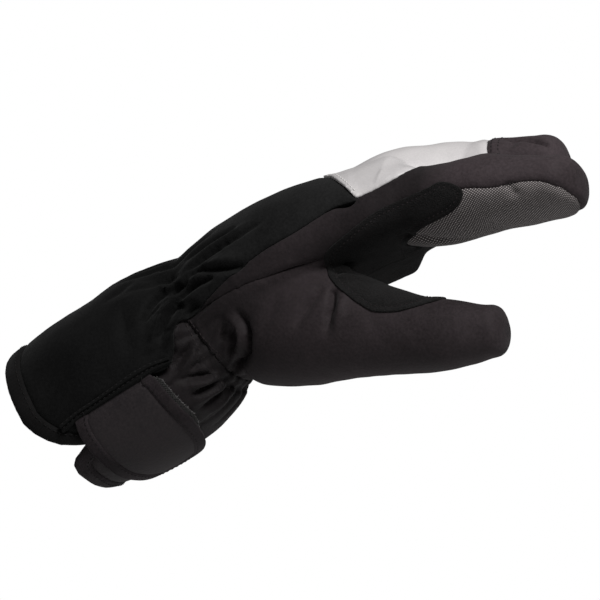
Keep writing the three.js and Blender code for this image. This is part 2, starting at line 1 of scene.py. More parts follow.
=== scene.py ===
# Padded lobster claw mitt for a left hand: sewn panels, folds, stitching, trim and cloth finishes.
# Lengths are in millimetres until a mesh is made. +X runs to the fingertips, +Z is up over the back
# of the hand, and the thumb is on the -Y side. The origin is the middle of the wrist.
import math

import bmesh
import bpy
import numpy as np
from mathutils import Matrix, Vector, noise
from mathutils.kdtree import KDTree


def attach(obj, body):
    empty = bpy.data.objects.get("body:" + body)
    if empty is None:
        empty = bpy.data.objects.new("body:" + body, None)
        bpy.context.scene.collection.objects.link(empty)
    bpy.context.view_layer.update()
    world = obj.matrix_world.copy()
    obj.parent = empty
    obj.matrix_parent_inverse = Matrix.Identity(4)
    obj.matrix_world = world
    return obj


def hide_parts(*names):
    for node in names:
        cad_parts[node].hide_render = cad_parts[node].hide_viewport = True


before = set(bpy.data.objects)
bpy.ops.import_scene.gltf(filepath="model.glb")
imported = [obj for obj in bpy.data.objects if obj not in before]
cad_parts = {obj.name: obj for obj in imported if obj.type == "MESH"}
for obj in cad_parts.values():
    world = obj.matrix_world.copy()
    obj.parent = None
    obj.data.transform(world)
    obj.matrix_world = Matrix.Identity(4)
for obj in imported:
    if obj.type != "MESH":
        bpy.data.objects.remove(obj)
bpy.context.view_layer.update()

MM = 0.001

# Sizes of the glove's parts
CUFF = dict(length=99, width=104, depth=90)
WRIST = dict(length=99, width=72, depth=70)
PALM = dict(length=108, width=98, depth=54)
INDEX_POCKET = dict(length=103, width=52, depth=37)
LITTLE_POCKET = dict(length=82, width=48, depth=38)
THUMB = dict(length=141, width=40, depth=41)
WALL = 2.3
HEM_WIDTH = 8.0
HEM_RISE = 0.9
PATCH_THICKNESS = 0.8
HOOK_THICKNESS = 0.8
TAB_THICKNESS = 1.7
TAB_BINDING_WIDTH = 5.5
TAB_BINDING_RISE = 0.55
FACING_THICKNESS = 1.1
# How far the patch and the tab's binding reach into what lies under them
SEATED = 0.2

# Roundness of the sections: 2 is an ellipse, more is squarer
SECTION_POWER = 2.15
TIP_POWER = 2.6

# Sections along each part, in shares of its sizes.
# Columns: run, rise, side, width, depth, roll, yaw, arch of the back, cup of the palm
CUFF_SECTIONS = [
    [-0.857, -0.516, 0, 1.00, 0.86, 0, 0, 0, 0],
    [-0.627, -0.402, 0, 0.96, 0.97, 0, 0, 0, 0],
    [-0.408, -0.285, 0, 0.92, 1.00, 0, 0, 0, 0],
    [-0.227, -0.162, 0, 0.85, 0.98, 0, 0, 0, 0],
]
WRIST_SECTIONS = [
    [-0.064, -0.040, 0, 1.08, 1.09, 0, 0, 0, 0],
    [0, 0, 0, 1, 1, 0, 0, 0, 0],
]
PALM_SECTIONS = [
    [0.131, 0.131, 0, 0.82, 1.22, 4, 2, 0.02, 0],
    [0.284, 0.249, 0, 0.90, 1.15, 8, 5, 0.055, 0.04],
    [0.467, 0.350, 0, 0.96, 1.06, 11, 8, 0.09, 0.07],
    [0.696, 0.434, 0, 1.00, 0.99, 14, 12, 0.13, 0.11],
    [0.869, 0.492, 0, 1.00, 1.00, 15, 14, 0.15, 0.13],
]
INDEX_POCKET_SECTIONS = [
    [0.00, 0.053, -0.225, 0.92, 1.03, 15, 8, 0, 0],
    [0.23, 0.035, -0.245, 1.00, 1.00, 20, 4, 0, 0],
    [0.38, 0.060, -0.262, 1.00, 0.97, 20, 0, 0, 0],
    [0.53, 0.097, -0.272, 1.00, 0.97, 20, 0, 0, 0],
    [0.675, 0.106, -0.276, 0.96, 0.84, 20, 0, 0, 0],
    [0.82, 0.123, -0.276, 0.885, 0.76, 20, 0, 0, 0],
]
LITTLE_POCKET_SECTIONS = [
    [-0.012, -0.063, 0.225, 0.96, 1.00, 10, 8, 0, 0],
    [0.155, 0.059, 0.235, 1.00, 1.00, 10, 6, 0, 0],
    [0.327, 0.155, 0.250, 1.00, 0.97, 10, 4, 0, 0],
    [0.512, 0.239, 0.262, 1.00, 0.95, 10, 0, 0, 0],
    [0.695, 0.280, 0.270, 0.92, 0.82, 10, 0, 0, 0],
    [0.85, 0.316, 0.274, 0.83, 0.71, 10, 0, 0, 0],
]
THUMB_SECTIONS = [
    [0.000, 0.000, 0.000, 1.20, 1.27, 0, 0, 0, 0],
    [0.148, -0.006, -0.071, 1.30, 1.39, 0, 0, 0, 0],
    [0.291, 0.008, -0.127, 1.22, 1.46, 0, 0, 0, 0],
    [0.417, -0.002, -0.169, 1.10, 1.27, 0, 0, 0, 0],
    [0.525, -0.015, -0.197, 1.02, 1.09, 0, 0, 0, 0],
    [0.637, -0.023, -0.218, 0.95, 0.99, 0, 0, 0, 0],
    [0.749, -0.025, -0.240, 0.875, 0.89, 0, 0, 0, 0],
    [0.858, -0.023, -0.254, 0.80, 0.756, 0, 0, 0, 0],
    [0.937, -0.015, -0.261, 0.70, 0.644, 0, 0, 0, 0],
]
THUMB_ROOT = (0.19, -0.061, -0.018)
# A fuller back between the knuckles and the pocket of the last two fingers, in millimetres.
# Columns: run, side, rise, half width, half depth, arch, cup, roll, yaw
BRIDGE_ROWS = [
    [76, 4, 52, 25, 24, 0, 0, 12, 0],
    [95, 11, 60, 26, 26, 0, 0, 12, 0],
    [110, 17, 64, 24, 24.5, 0, 0, 10, 0],
    [124, 21, 69, 21, 21.5, 0, 0, 10, 0],
    [138, 23, 72, 17, 17, 0, 0, 10, 0],
]
KNUCKLE_END = 0.14
INDEX_POCKET_END = 0.18
LITTLE_POCKET_END = 0.15
THUMB_END = 0.063

# Seams: place along the glove, then angles round the section in degrees: 0 thumb side, 90 back,
# 180 little finger side, 270 palm
FAR_SEAM = 184
WRIST_SEAM = -0.02
BACK_EDGE = [
    [-0.96, -16], [-0.83, -14], [-0.66, -10], [-0.49, -9], [-0.35, -10], [-0.19, -13], [-0.112, -4],
    [-0.065, 2], [0.03, 2], [0.10, 1], [0.22, -1], [0.44, -1], [0.55, -2], [0.65, 1], [0.75, 8], [0.86, 7],
    [1.20, 12],
]
THUMB_SEAM = [
    [-0.02, 3], [0.05, 1], [0.12, -2], [0.18, -6], [0.27, -12], [0.34, -18], [0.44, -27], [0.55, -35],
    [0.66, -41], [0.75, -50], [0.90, -58], [1.20, -66],
]
# Upper edge of the side panel: it follows the back, then the pale panel
SIDE_TOP = [[0.03, 2], [0.40, -1], [0.60, 0], [0.75, 7], [0.86, 8], [0.93, 40], [1.30, 60]]
# The pale panel's edges away from the thumb
REFLECTIVE_ON_HAND = [
    [0.738, 20, 96], [0.75, 20, 120], [0.775, 20, 140], [0.81, 20, 156], [0.88, 20, 168], [1.10, 20, 164],
    [1.30, 20, 154],
]
REFLECTIVE_ON_INDEX = [
    [-0.10, 20, 150], [0.08, 20, 158], [0.17, 30, 162], [0.22, 60, 162], [0.27, 88, 162], [0.33, 108, 162],
    [0.38, 125, 162],
]
# Its outline on the thumb side, as run across the view and height in shares of the palm's length
PALE_OUTLINE = [
    [0.475, 0.80], [0.505, 0.692], [0.551, 0.657], [0.593, 0.622], [0.648, 0.565], [0.74, 0.608],
    [0.819, 0.653], [0.88, 0.690], [0.958, 0.722], [1.06, 0.745], [1.12, 0.744], [1.16, 0.762],
    [1.199, 0.782], [1.268, 0.787], [1.274, 0.81], [1.274, 1.2], [0.475, 1.2],
]
REFLECTIVE_ON_LITTLE = [[-0.10, 0, 150], [0.20, -12, 158], [0.605, -28, 158]]
INDEX_GRIP = [
    [0.125, 214, 338], [0.49, 212, 342], [0.59, 210, 336], [0.70, 210, 340], [0.79, 210, 341],
    [0.88, 212, 329], [0.94, 232, 308], [0.965, 256, 284],
]
LITTLE_GRIP = [[0.24, 206, 334], [0.50, 204, 338], [0.80, 204, 338], [0.92, 214, 326]]
# Edge of the cuff, from the far seam round the palm, up over the slit's corner and round the back
MOUTH_EDGE = [
    [-1, -240], [-1, -176], [-0.95, -162], [-0.91, -145], [-0.888, -120], [-0.885, -52], [-0.872, -44],
    [-0.845, -39], [-0.79, -34], [-0.745, -30], [-0.80, -27], [-0.86, -23], [-0.905, -17], [-0.945, -9],
    [-0.975, 0], [-0.99, 26], [-0.998, 46], [-1, 80], [-1, 184], [-0.95, 198], [-0.91, 215], [-0.888, 240],
]
CUFF_CORNER = -30
PALM_HEM_WIDTH = 7.0
# Lower edge of the cuff's back, under the tab, from the corner up to the slit
UNDERLAP = [[-1.10, -30], [-0.72, -30], [-0.69, -25], [-0.665, -14], [-0.64, -10]]
INDEX_SOFTSHELL = [[0.02, -30, 208], [1.05, -30, 208]]
LITTLE_SOFTSHELL = [[0.10, -30, 202], [1.05, -30, 202]]
POCKET_CAP = 0.88
CLOSURE_TAB = [
    [-0.745, 324, 338], [-0.735, 306, 345], [-0.70, 282, 350], [-0.66, 264, 352], [-0.58, 258, 353],
    [-0.50, 259, 353], [-0.44, 264, 353], [-0.39, 272, 353], [-0.35, 283, 352], [-0.32, 295, 351],
    [-0.30, 308, 345],
]
HOOK_PAD = [[-0.60, 284, 346], [-0.36, 290, 346], [-0.30, 300, 346], [-0.28, 308, 342]]
SLIT_FACING = [
    [-0.81, -15.5, -10.5], [-0.70, -12, -7.5], [-0.62, -11, -6.5], [-0.49, -10, -5], [-0.36, -10.5, -4.5],
    [-0.27, -11, -6], [-0.19, -13.5, -9.5],
]

# Outline of the suede patch between thumb and index finger: x and z in shares of the palm's length
PATCH_OUTLINE = [
    [1.144, 0.601], [1.197, 0.626], [1.250, 0.621], [1.293, 0.602], [1.306, 0.575], [1.279, 0.527],
    [1.223, 0.487], [1.10, 0.43], [0.985, 0.36], [0.90, 0.27], [0.90, 0.20], [1.05, 0.15], [1.188, 0.111],
    [1.134, 0.085], [1.048, 0.060], [0.993, 0.050], [0.899, 0.053], [0.838, 0.079], [0.778, 0.115],
    [0.693, 0.176], [0.645, 0.229], [0.635, 0.278], [0.660, 0.325], [0.739, 0.385], [0.833, 0.453],
    [0.909, 0.502], [1.022, 0.552],
]
PATCH_BACK = 0.05

# Fineness of the surface
STEPS = 8
END_RINGS = 8
AROUND = 96
VOXEL = 1.0
SNAP = 0.12


def unit(vectors):
    return vectors / np.maximum(np.linalg.norm(vectors, axis=-1, keepdims=True), 1e-9)


def summed(index, rows, count):
    """Adds up rows that have the same index."""
    return np.column_stack([np.bincount(index, weights=row, minlength=count) for row in rows.T])


def signed_power(values, power):
    return np.sign(values) * np.abs(values) ** power


def sized(table, origin, part, across):
    """The rows of a table as plain sizes."""
    run, rise, side, wide, deep, roll, yaw, arch, cup = np.array(table, float).T
    return np.column_stack([
        origin[0] + run * part["length"],
        origin[1] + side * across,
        origin[2] + rise * part["length"],
        wide * part["width"] / 2,
        deep * part["depth"] / 2,
        arch * part["depth"],
        cup * part["depth"],
        roll,
        yaw,
    ])


def on_curve(before, start, end, after, t):
    """A place on the smooth curve through four points, between the middle two."""
    bend = 2 * before - 5 * start + 4 * end - after
    twist = after - before + 3 * (start - end)
    return 0.5 * (2 * start + (end - before) * t + bend * t * t + twist * t**3)


def smooth_rows(rows):
    """Adds rows in between, on a smooth curve through the given ones."""
    run = np.vstack([2 * rows[0] - rows[1], rows, 2 * rows[-1] - rows[-2]])
    made = []
    for before, start, end, after in zip(run, run[1:], run[2:], run[3:]):
        made += [on_curve(before, start, end, after, t) for t in np.arange(STEPS) / STEPS]
    made.append(rows[-1])
    return np.array(made)


def section(frames, angle, grow=0.0, size=1.0):
    """Points of sections. frames is middle, sideways, upward and sizes, a row for each point."""
    middle, sideways, upward, sizes = frames
    half_width, half_depth, arch, cup = sizes.T
    turn = np.radians(angle)
    across = signed_power(np.cos(turn), 2 / SECTION_POWER)
    high = signed_power(np.sin(turn), 2 / SECTION_POWER)
    hollow = np.where(high < 0, cup * (1 - across**2) ** 2, 0)
    height = (half_depth * size + grow) * high + (hollow - arch * across**2) * size
    out = across * (half_width * size + grow)
    return middle - sideways * out[:, None] + upward * height[:, None]


def tube_faces(start, rings, around, flipped=False):
    """Faces of a closed tube, whose rings of points begin with the point numbered start."""
    faces = []
    for row in range(rings - 1):
        for step in range(around):
            a = start + row * around + step
            b = start + row * around + (step + 1) % around
            if flipped:
                a, b = b, a
            faces.append([a, b, b + around, a + around])
    last = start + (rings - 1) * around
    ends = [list(range(start, start + around))[::-1], list(range(last, last + around))]
    return faces + [end[::-1] if flipped else end for end in ends]


class Tube:
    """One part of the glove: sections along a smooth middle line, with a rounded end."""

    def __init__(self, rows, end_length, zero_row=0):
        dense = smooth_rows(rows)
        count = len(dense)
        heading = unit(dense[-1, :3] - dense[-2, :3])
        reach = np.sin(np.linspace(0, math.pi / 2, END_RINGS + 1)[1:])
        end = np.repeat(dense[-1:], END_RINGS, axis=0)
        end[:, :3] += heading * reach[:, None] * end_length
        rows = np.vstack([dense, end])
        self.size = np.ones(len(rows))
        self.size[count:] = np.maximum(0.02, 1 - reach**TIP_POWER) ** (1 / TIP_POWER)
        self.middle = rows[:, :3]
        self.sizes = rows[:, 3:7]
        steps = np.linalg.norm(np.diff(self.middle, axis=0), axis=1)
        lengths = np.concatenate([[0], np.cumsum(steps)])
        zero = lengths[zero_row * STEPS]
        self.ahead = lengths[count - 1 if zero_row else -1] - zero
        self.behind = zero if zero_row else self.ahead
        past = lengths - zero
        self.at = np.where(past < 0, past / self.behind, past / self.ahead)
        around = np.vstack([self.middle[:1], self.middle, self.middle[-1:]])
        along = unit(around[2:] - around[:-2])
        across = unit(np.array([0, 1, 0]) - along * along[:, 1:2])
        up = np.cross(along, across)
        roll = np.radians(rows[:, 7:8])
        yaw = np.radians(rows[:, 8:9])
        self.upward = up * np.cos(roll) + across * np.sin(roll)
        level = across * np.cos(roll) - up * np.sin(roll)
        self.sideways = level * np.cos(yaw) - along * np.sin(yaw)

    def unit_at(self, at):
        """How many millimetres long one unit of place is there."""
        return np.where(at < 0, self.behind, self.ahead)

    def frames_at(self, at):
        """Frames at any places along, carried on straight past the ends."""
        index = np.clip(np.searchsorted(self.at, at, side="right") - 1, 0, len(self.at) - 2)
        share = ((at - self.at[index]) / (self.at[index + 1] - self.at[index]))[:, None]
        inside = np.clip(share, 0, 1)

        def mix(rows, part):
            return rows[index] + (rows[index + 1] - rows[index]) * part

        return (
            mix(self.middle, share), mix(self.sideways, inside), mix(self.upward, inside),
            mix(self.sizes, inside),
        )

    def point(self, at, angle, grow=0.0):
        """Points on the glove's surface, by place along and angle round."""
        at = np.atleast_1d(np.asarray(at, float))
        angle = np.atleast_1d(np.asarray(angle, float))
        return section(self.frames_at(at), angle, grow)

    def radius_at(self, at):
        return self.frames_at(at)[3][:, :2].mean(axis=1)

    def solid(self, carry_on=0.0):
        """Points and faces of the whole closed tube."""
        frames = [self.middle, self.sideways, self.upward, self.sizes]
        size = self.size
        if carry_on:
            first = self.frames_at(self.at[:1] - carry_on / self.behind)
            frames = [np.vstack([extra, rows]) for extra, rows in zip(first, frames)]
            size = np.concatenate([[1], size])
        rings = len(size)
        ring = np.repeat(np.arange(rings), AROUND)
        angle = np.tile(np.arange(AROUND) * 360 / AROUND, rings)
        points = section([rows[ring] for rows in frames], angle, 0.0, size[ring])
        return points, tube_faces(0, rings, AROUND, flipped=True)

    def place(self, points):
        """Place along, angle round and reach of any points, as this tube sees them."""
        facing = unit(np.cross(self.sideways, self.upward))
        past = points @ facing.T - (self.middle * facing).sum(axis=1)
        crossed = (past[:, :-1] >= 0) & (past[:, 1:] < 0)
        away = ((points**2).sum(axis=1)[:, None] - 2 * points @ self.middle[:-1].T
                + (self.middle[:-1] ** 2).sum(axis=1))
        index = np.where(crossed, away, np.inf).argmin(axis=1)
        missed = ~crossed.any(axis=1)
        index[missed & (past[:, -1] >= 0)] = len(self.at) - 2
        rows = np.arange(len(points))
        start = past[rows, index]
        share = start / np.maximum(start - past[rows, index + 1], 1e-6)
        at = self.at[index] + share * (self.at[index + 1] - self.at[index])
        middle, sideways, upward, sizes = self.frames_at(at)
        half_width, half_depth, arch, cup = sizes.T
        off = points - middle
        across = -(off * sideways).sum(axis=1) / half_width
        square = np.minimum(across**2, 1)
        high = ((off * upward).sum(axis=1) + arch * square) / half_depth
        high = np.where(high < 0, high - cup * (1 - square) ** 2 / half_depth, high)
        across_power = signed_power(across, SECTION_POWER / 2)
        high_power = signed_power(high, SECTION_POWER / 2)
        angle = np.degrees(np.arctan2(high_power, across_power)) % 360
        reach = (across_power**2 + high_power**2) ** (1 / SECTION_POWER)
        return at, angle, reach


def smooth_between(places, values, at):
    """A smooth curve through a table's values, level past its ends."""
    slopes = np.gradient(values, places)
    at = np.clip(at, places[0], places[-1])
    index = np.clip(np.searchsorted(places, at) - 1, 0, len(places) - 2)
    width = places[index + 1] - places[index]
    t = (at - places[index]) / width
    start, end = values[index], values[index + 1]
    rise = (start - end) * (2 * t**3 - 3 * t**2) + start
    return rise + width * (slopes[index] * (t**3 - 2 * t**2 + t) + slopes[index + 1] * (t**3 - t**2))


def sides_of(triangles):
    """The three sides of each triangle, as pairs of points in the triangle's direction."""
    return np.vstack([triangles[:, [0, 1]], triangles[:, [1, 2]], triangles[:, [2, 0]]])


class Cloth:
    """A surface of triangles with named values at its points, which stay with them through cuts."""

    def __init__(self, points, triangles, values):
        self.names = list(values)
        self.data = np.column_stack([points, *values.values()])
        self.triangles = triangles

    @property
    def points(self):
        return self.data[:, :3]

    def value(self, name):
        return self.data[:, 3 + self.names.index(name)]

    def add(self, name, values):
        self.names.append(name)
        self.data = np.column_stack([self.data, values])

    def normals(self):
        a, b, c = (self.points[self.triangles[:, k]] for k in range(3))
        face = np.cross(b - a, c - a)
        return unit(sum(summed(corner, face, len(self.points)) for corner in self.triangles.T))

    def split(self, name):
        """Cuts the triangles along the line where a value is zero."""
        values = self.value(name).copy()
        values[np.abs(values) < SNAP] = 0
        signs = np.sign(values)[self.triangles]
        crossing = (signs.max(axis=1) > 0) & (signs.min(axis=1) < 0)
        made = {}
        rows = []
        pieces = []
        count = len(self.data)

        def between(a, b):
            key = (min(a, b), max(a, b))
            if key not in made:
                low, high = key
                share = values[low] / (values[low] - values[high])
                made[key] = count + len(rows)
                rows.append(self.data[low] + share * (self.data[high] - self.data[low]))
            return made[key]

        for corners in self.triangles[crossing].tolist():
            signs = [np.sign(values[corner]) for corner in corners]
            if 0 in signs:
                turn = signs.index(0)
                a, b, c = corners[turn:] + corners[:turn]
                middle = between(b, c)
                pieces += [[a, b, middle], [a, middle, c]]
                continue
            turn = next(k for k in range(3) if signs[k] != signs[k - 1] and signs[k] != signs[k - 2])
            a, b, c = corners[turn:] + corners[:turn]
            first = between(a, b)
            last = between(a, c)
            pieces += [[a, first, last], [first, b, c], [first, c, last]]
        if pieces:
            self.data = np.vstack([self.data, rows])
            self.triangles = np.vstack([self.triangles[~crossing], pieces])
        values = self.value(name)
        values[count:] = 0
        values[np.abs(values) < SNAP] = 0
        return np.sign(values)[self.triangles].sum(axis=1) > 0

    def part(self, chosen):
        """The chosen triangles as a cloth of their own."""
        triangles = self.triangles[chosen]
        used, index = np.unique(triangles, return_inverse=True)
        made = Cloth.__new__(Cloth)
        made.names = list(self.names)
        made.data = self.data[used]
        made.triangles = index.reshape(-1, 3)
        return made

    def without_bits(self, share=0.04):
        """The cloth without connected parts smaller than a share of its biggest one."""
        label = np.arange(len(self.data))
        a, b, c = self.triangles.T
        while True:
            low = np.minimum.reduce([label[a], label[b], label[c]])
            new = label.copy()
            for corner in (a, b, c):
                np.minimum.at(new, corner, low)
            new = new[new]
            if (new == label).all():
                break
            label = new
        counts = np.bincount(label[a])
        return self.part(counts[label[a]] >= share * counts.max())

    def take(self, name):
        """Cuts off what lies inside a region and returns it, without stray bits."""
        inside = self.split(name)
        taken = self.part(inside).without_bits()
        left = self.part(~inside)
        self.data = left.data
        self.triangles = left.triangles
        return taken

    def border(self):
        """The edges that only one triangle has, as pairs of points in the triangle's direction."""
        edges = sides_of(self.triangles)
        key = np.sort(edges, axis=1)
        _, index, counts = np.unique(key, axis=0, return_inverse=True, return_counts=True)
        return edges[counts[index.ravel()] == 1]


def smoothed(points, edges, weight, rounds, step=0.5):
    """Points drawn towards the middle of their neighbours, each by its weight."""
    points = points.copy()
    a, b = edges.T
    counts = np.bincount(edges.ravel(), minlength=len(points))[:, None]
    for _ in range(rounds):
        total = summed(a, points[b], len(points)) + summed(b, points[a], len(points))
        points += (total / counts - points) * (step * weight)[:, None]
    return points


def edges_of(triangles):
    return np.unique(np.sort(sides_of(triangles), axis=1), axis=0)


def add_object(name, data):
    """A new object in the scene."""
    made = bpy.data.objects.new(name, data)
    bpy.context.scene.collection.objects.link(made)
    return made


# The glove's four tubes
ORIGIN = (0, 0, 0)
palm_rows = sized(PALM_SECTIONS, ORIGIN, PALM, PALM["width"])
hand_rows = np.vstack([
    sized(CUFF_SECTIONS, ORIGIN, CUFF, CUFF["width"]),
    sized(WRIST_SECTIONS, ORIGIN, WRIST, WRIST["width"]),
    palm_rows,
])
KNUCKLES = palm_rows[-1, :3]
WRIST_ROW = len(CUFF_SECTIONS) + len(WRIST_SECTIONS) - 1
thumb_origin = np.array(THUMB_ROOT) * [PALM["length"], PALM["width"], PALM["length"]]
TUBES = {
    "hand": Tube(hand_rows, KNUCKLE_END * PALM["length"], WRIST_ROW),
    "index": Tube(
        sized(INDEX_POCKET_SECTIONS, KNUCKLES, INDEX_POCKET, PALM["width"]),
        INDEX_POCKET_END * INDEX_POCKET["length"],
    ),
    "little": Tube(
        sized(LITTLE_POCKET_SECTIONS, KNUCKLES, LITTLE_POCKET, PALM["width"]),
        LITTLE_POCKET_END * LITTLE_POCKET["length"],
    ),
    "thumb": Tube(
        sized(THUMB_SECTIONS, thumb_origin, THUMB, THUMB["length"]), THUMB_END * THUMB["length"],
    ),
}
HAND = TUBES["hand"]
BRIDGE = Tube(np.array(BRIDGE_ROWS, float), 6.0)

MOUTH_SPARE = 12.0


def joined_surface():
    """Hand, pockets and thumb as one even skin."""
    points = []
    faces = []
    for tube in [*TUBES.values(), BRIDGE]:
        more, more_faces = tube.solid(MOUTH_SPARE if tube is HAND else 0.0)
        start = sum(len(rows) for rows in points)
        faces += [[corner + start for corner in face] for face in more_faces]
        points.append(more)
    mesh = bpy.data.meshes.new("form")
    mesh.from_pydata((np.vstack(points) * MM).tolist(), [], faces)
    form = add_object("form", mesh)
    remesh = form.modifiers.new("skin", "REMESH")
    remesh.mode = "VOXEL"
    remesh.voxel_size = VOXEL * MM
    skin = form.evaluated_get(bpy.context.evaluated_depsgraph_get()).to_mesh()
    skin.calc_loop_triangles()
    places = np.zeros(len(skin.vertices) * 3)
    corners = np.zeros(len(skin.loop_triangles) * 3, int)
    skin.vertices.foreach_get("co", places)
    skin.loop_triangles.foreach_get("vertices", corners)
    bpy.data.objects.remove(form)
    bpy.data.meshes.remove(mesh)
    return places.reshape(-1, 3) / MM, corners.reshape(-1, 3)


# How wide the joins between hand, pockets and thumb are rounded off
JOIN_REACH = 5.0
JOIN_ROUNDS = 40
EVEN_ROUNDS = 4


def rounded_joins(points, triangles):
    """The skin with soft joins between its parts."""
    edges = edges_of(triangles)
    points = smoothed(points, edges, np.ones(len(points)), EVEN_ROUNDS)
    away = []
    for tube in TUBES.values():
        at, _, reach = tube.place(points)
        inside = (at < tube.at[-1]) & (at > tube.at[0])
        gap = np.abs(reach - 1) * tube.radius_at(at)
        away.append(np.where(inside, gap, 99))
    second = np.sort(away, axis=0)[1]
    weight = np.exp(-((second / JOIN_REACH) ** 2))
    return smoothed(points, edges, weight, JOIN_ROUNDS)


# Gathers that the elastic makes: a fold for each, along the arm. They are shallower on the side
# where single folds are placed.
GATHERS = 34
GATHER_DEPTH = 3.6
GATHER_WIDTH = 1.9
GATHER_OFF = 0.35
GATHER_MIDDLE = 0.06
GATHER_BACK = (0.08, 0.34)
GATHER_FRONT = (0.06, 0.34)
GATHER_LEAN = 9
GATHER_DEPTHS = (0.5, 1.0)
GATHER_WIDTHS = (0.7, 1.3)
PLACED_SIDE = (-78, 52)
PLACED_SHARE = 0.45
FOLD_SHAPE = 1.7
FOLD_STEPS = 16
FOLD_ROUNDS = 4
FOLD_FADE = 0.6
gather_draw = np.random.default_rng(7)

# Single folds. Columns: tube, height, width, then place and angle of the points each runs through
FOLDS = [
    ("hand", -3.5, 1.8, [(0.47, 24), (0.36, 26), (0.276, 29), (0.18, 33), (0.12, 38)]),
    ("hand", 1.4, 2.4, [(0.44, 31), (0.36, 32), (0.27, 35), (0.18, 41)]),
    ("hand", -3.2, 1.8, [(0.38, 35), (0.30, 40), (0.22, 45), (0.13, 52)]),
    ("hand", -5.4, 1.8, [(0.33, 0), (0.284, 4), (0.222, 15), (0.171, 25), (0.11, 31)]),
    ("hand", 2.4, 2.4, [(0.33, 8), (0.25, 17), (0.18, 23), (0.12, 25)]),
    ("hand", 1.2, 2.6, [(0.30, -2), (0.22, 5), (0.15, 8)]),
    ("hand", -3.8, 1.7, [(0.20, 8), (0.164, 13), (0.086, 20), (0.009, 21)]),
    ("hand", 2.4, 2.2, [(0.12, 8), (0.06, 14), (0.0, 15)]),
    ("hand", -3.5, 1.6, [(0.08, 4), (0.03, 7), (-0.03, 7)]),
    ("hand", -3.5, 1.7, [(0.11, 27), (0.04, 30), (-0.05, 29)]),
    ("hand", 2.2, 2.4, [(0.10, 34), (0.02, 38), (-0.06, 40)]),
    ("hand", -3.5, 1.8, [(0.08, 42), (0.0, 46), (-0.10, 47)]),
    ("hand", 4.6, 2.6, [(0.0, 27), (-0.06, 21), (-0.139, 11), (-0.23, 2)]),
    ("hand", 3.8, 2.4, [(0.014, 12), (-0.057, 5), (-0.13, -2), (-0.19, -6)]),
    ("hand", -4.8, 1.8, [(0.03, 22), (-0.03, 18), (-0.086, 11), (-0.17, 2)]),
    ("hand", -4.8, 2.2, [(0.0, 38), (-0.056, 34), (-0.127, 27), (-0.20, 16)]),
    ("hand", -1.6, 4.0, [(-0.24, 46), (-0.29, 22), (-0.34, 5)]),
    ("hand", -1.4, 3.4, [(-0.16, 62), (-0.25, 56), (-0.34, 54)]),
    ("hand", -3.8, 1.9, [(-0.03, -12), (-0.118, -15), (-0.21, -18)]),
    ("hand", 2.4, 2.4, [(-0.05, -19), (-0.12, -21), (-0.20, -22)]),
    ("hand", -2.4, 1.8, [(-0.04, -26), (-0.10, -27), (-0.16, -26)]),
    ("hand", -4.1, 1.7, [(-0.06, -42), (-0.108, -39), (-0.153, -33), (-0.22, -27)]),
    ("hand", 2.7, 2.2, [(-0.02, -49), (-0.08, -46), (-0.152, -40), (-0.22, -34)]),
    ("hand", -4.1, 1.6, [(-0.06, -53), (-0.123, -50), (-0.171, -45), (-0.23, -40)]),
    ("hand", 2.7, 2.2, [(-0.02, -59), (-0.104, -55), (-0.174, -50), (-0.25, -47)]),
    ("hand", -4.1, 1.6, [(-0.05, -66), (-0.12, -63), (-0.166, -60), (-0.24, -55)]),
    ("hand", 2.4, 2.4, [(-0.02, -73), (-0.10, -69), (-0.17, -67), (-0.25, -66)]),
    ("hand", 0.9, 1.2, [(0.026, 1), (-0.005, -8), (-0.018, -31), (-0.025, -58), (-0.027, -84)]),
    ("thumb", -5.4, 1.8, [(0.10, 16), (0.135, 3), (0.143, -8), (0.123, -28), (0.06, -46), (0.03, -52)]),
    ("thumb", 3.0, 2.4, [(0.05, 12), (0.10, 1), (0.112, -12), (0.08, -28), (0.05, -36)]),
    ("thumb", -2.8, 1.6, [(0.06, 2), (0.077, -8), (0.075, -20), (0.04, -28)]),
    ("thumb", -2.5, 1.5, [(0.05, 8), (0.036, -4), (0.02, -14)]),
    ("thumb", 1.2, 1.8, [(0.03, -10), (0.045, -22), (0.02, -34)]),
    ("thumb", -4.6, 2.0, [(0.42, 44), (0.425, 34), (0.432, 16), (0.43, -6)]),
    ("thumb", 1.8, 2.6, [(0.46, 42), (0.463, 20), (0.467, -4)]),
    ("thumb", -2.8, 2.8, [(0.39, 42), (0.354, 16), (0.32, -4)]),
    ("thumb", -1.3, 4.0, [(0.26, 32), (0.232, 13), (0.19, -6)]),
    ("thumb", -0.8, 5.0, [(0.54, 36), (0.58, 10), (0.60, -6)]),
    ("thumb", -6.0, 2.6, [(0.345, 88), (0.385, 93), (0.42, 104)]),
    ("thumb", 2.4, 1.8, [(0.36, 77), (0.39, 80), (0.42, 86)]),
    ("thumb", -3.0, 1.6, [(0.38, 68), (0.41, 72), (0.45, 80)]),
    ("thumb", 1.8, 1.8, [(0.41, 61), (0.44, 66), (0.48, 74)]),
    ("index", -2.1, 3.2, [(0.14, -68), (0.176, -76), (0.278, -93), (0.40, -108)]),
    ("index", -1.8, 2.4, [(0.67, -14), (0.694, -30), (0.72, -44)]),
    ("index", -0.8, 5.0, [(0.40, 96), (0.46, 70), (0.52, 40)]),
    ("index", -0.8, 5.0, [(0.80, 100), (0.84, 60), (0.86, 20)]),
    ("little", -3.6, 1.7, [(0.62, 68), (0.70, 61), (0.762, 54), (0.84, 43), (0.93, 24), (0.97, 12)]),
    ("little", -2.2, 2.4, [(0.70, 20), (0.74, 36), (0.75, 50)]),
]

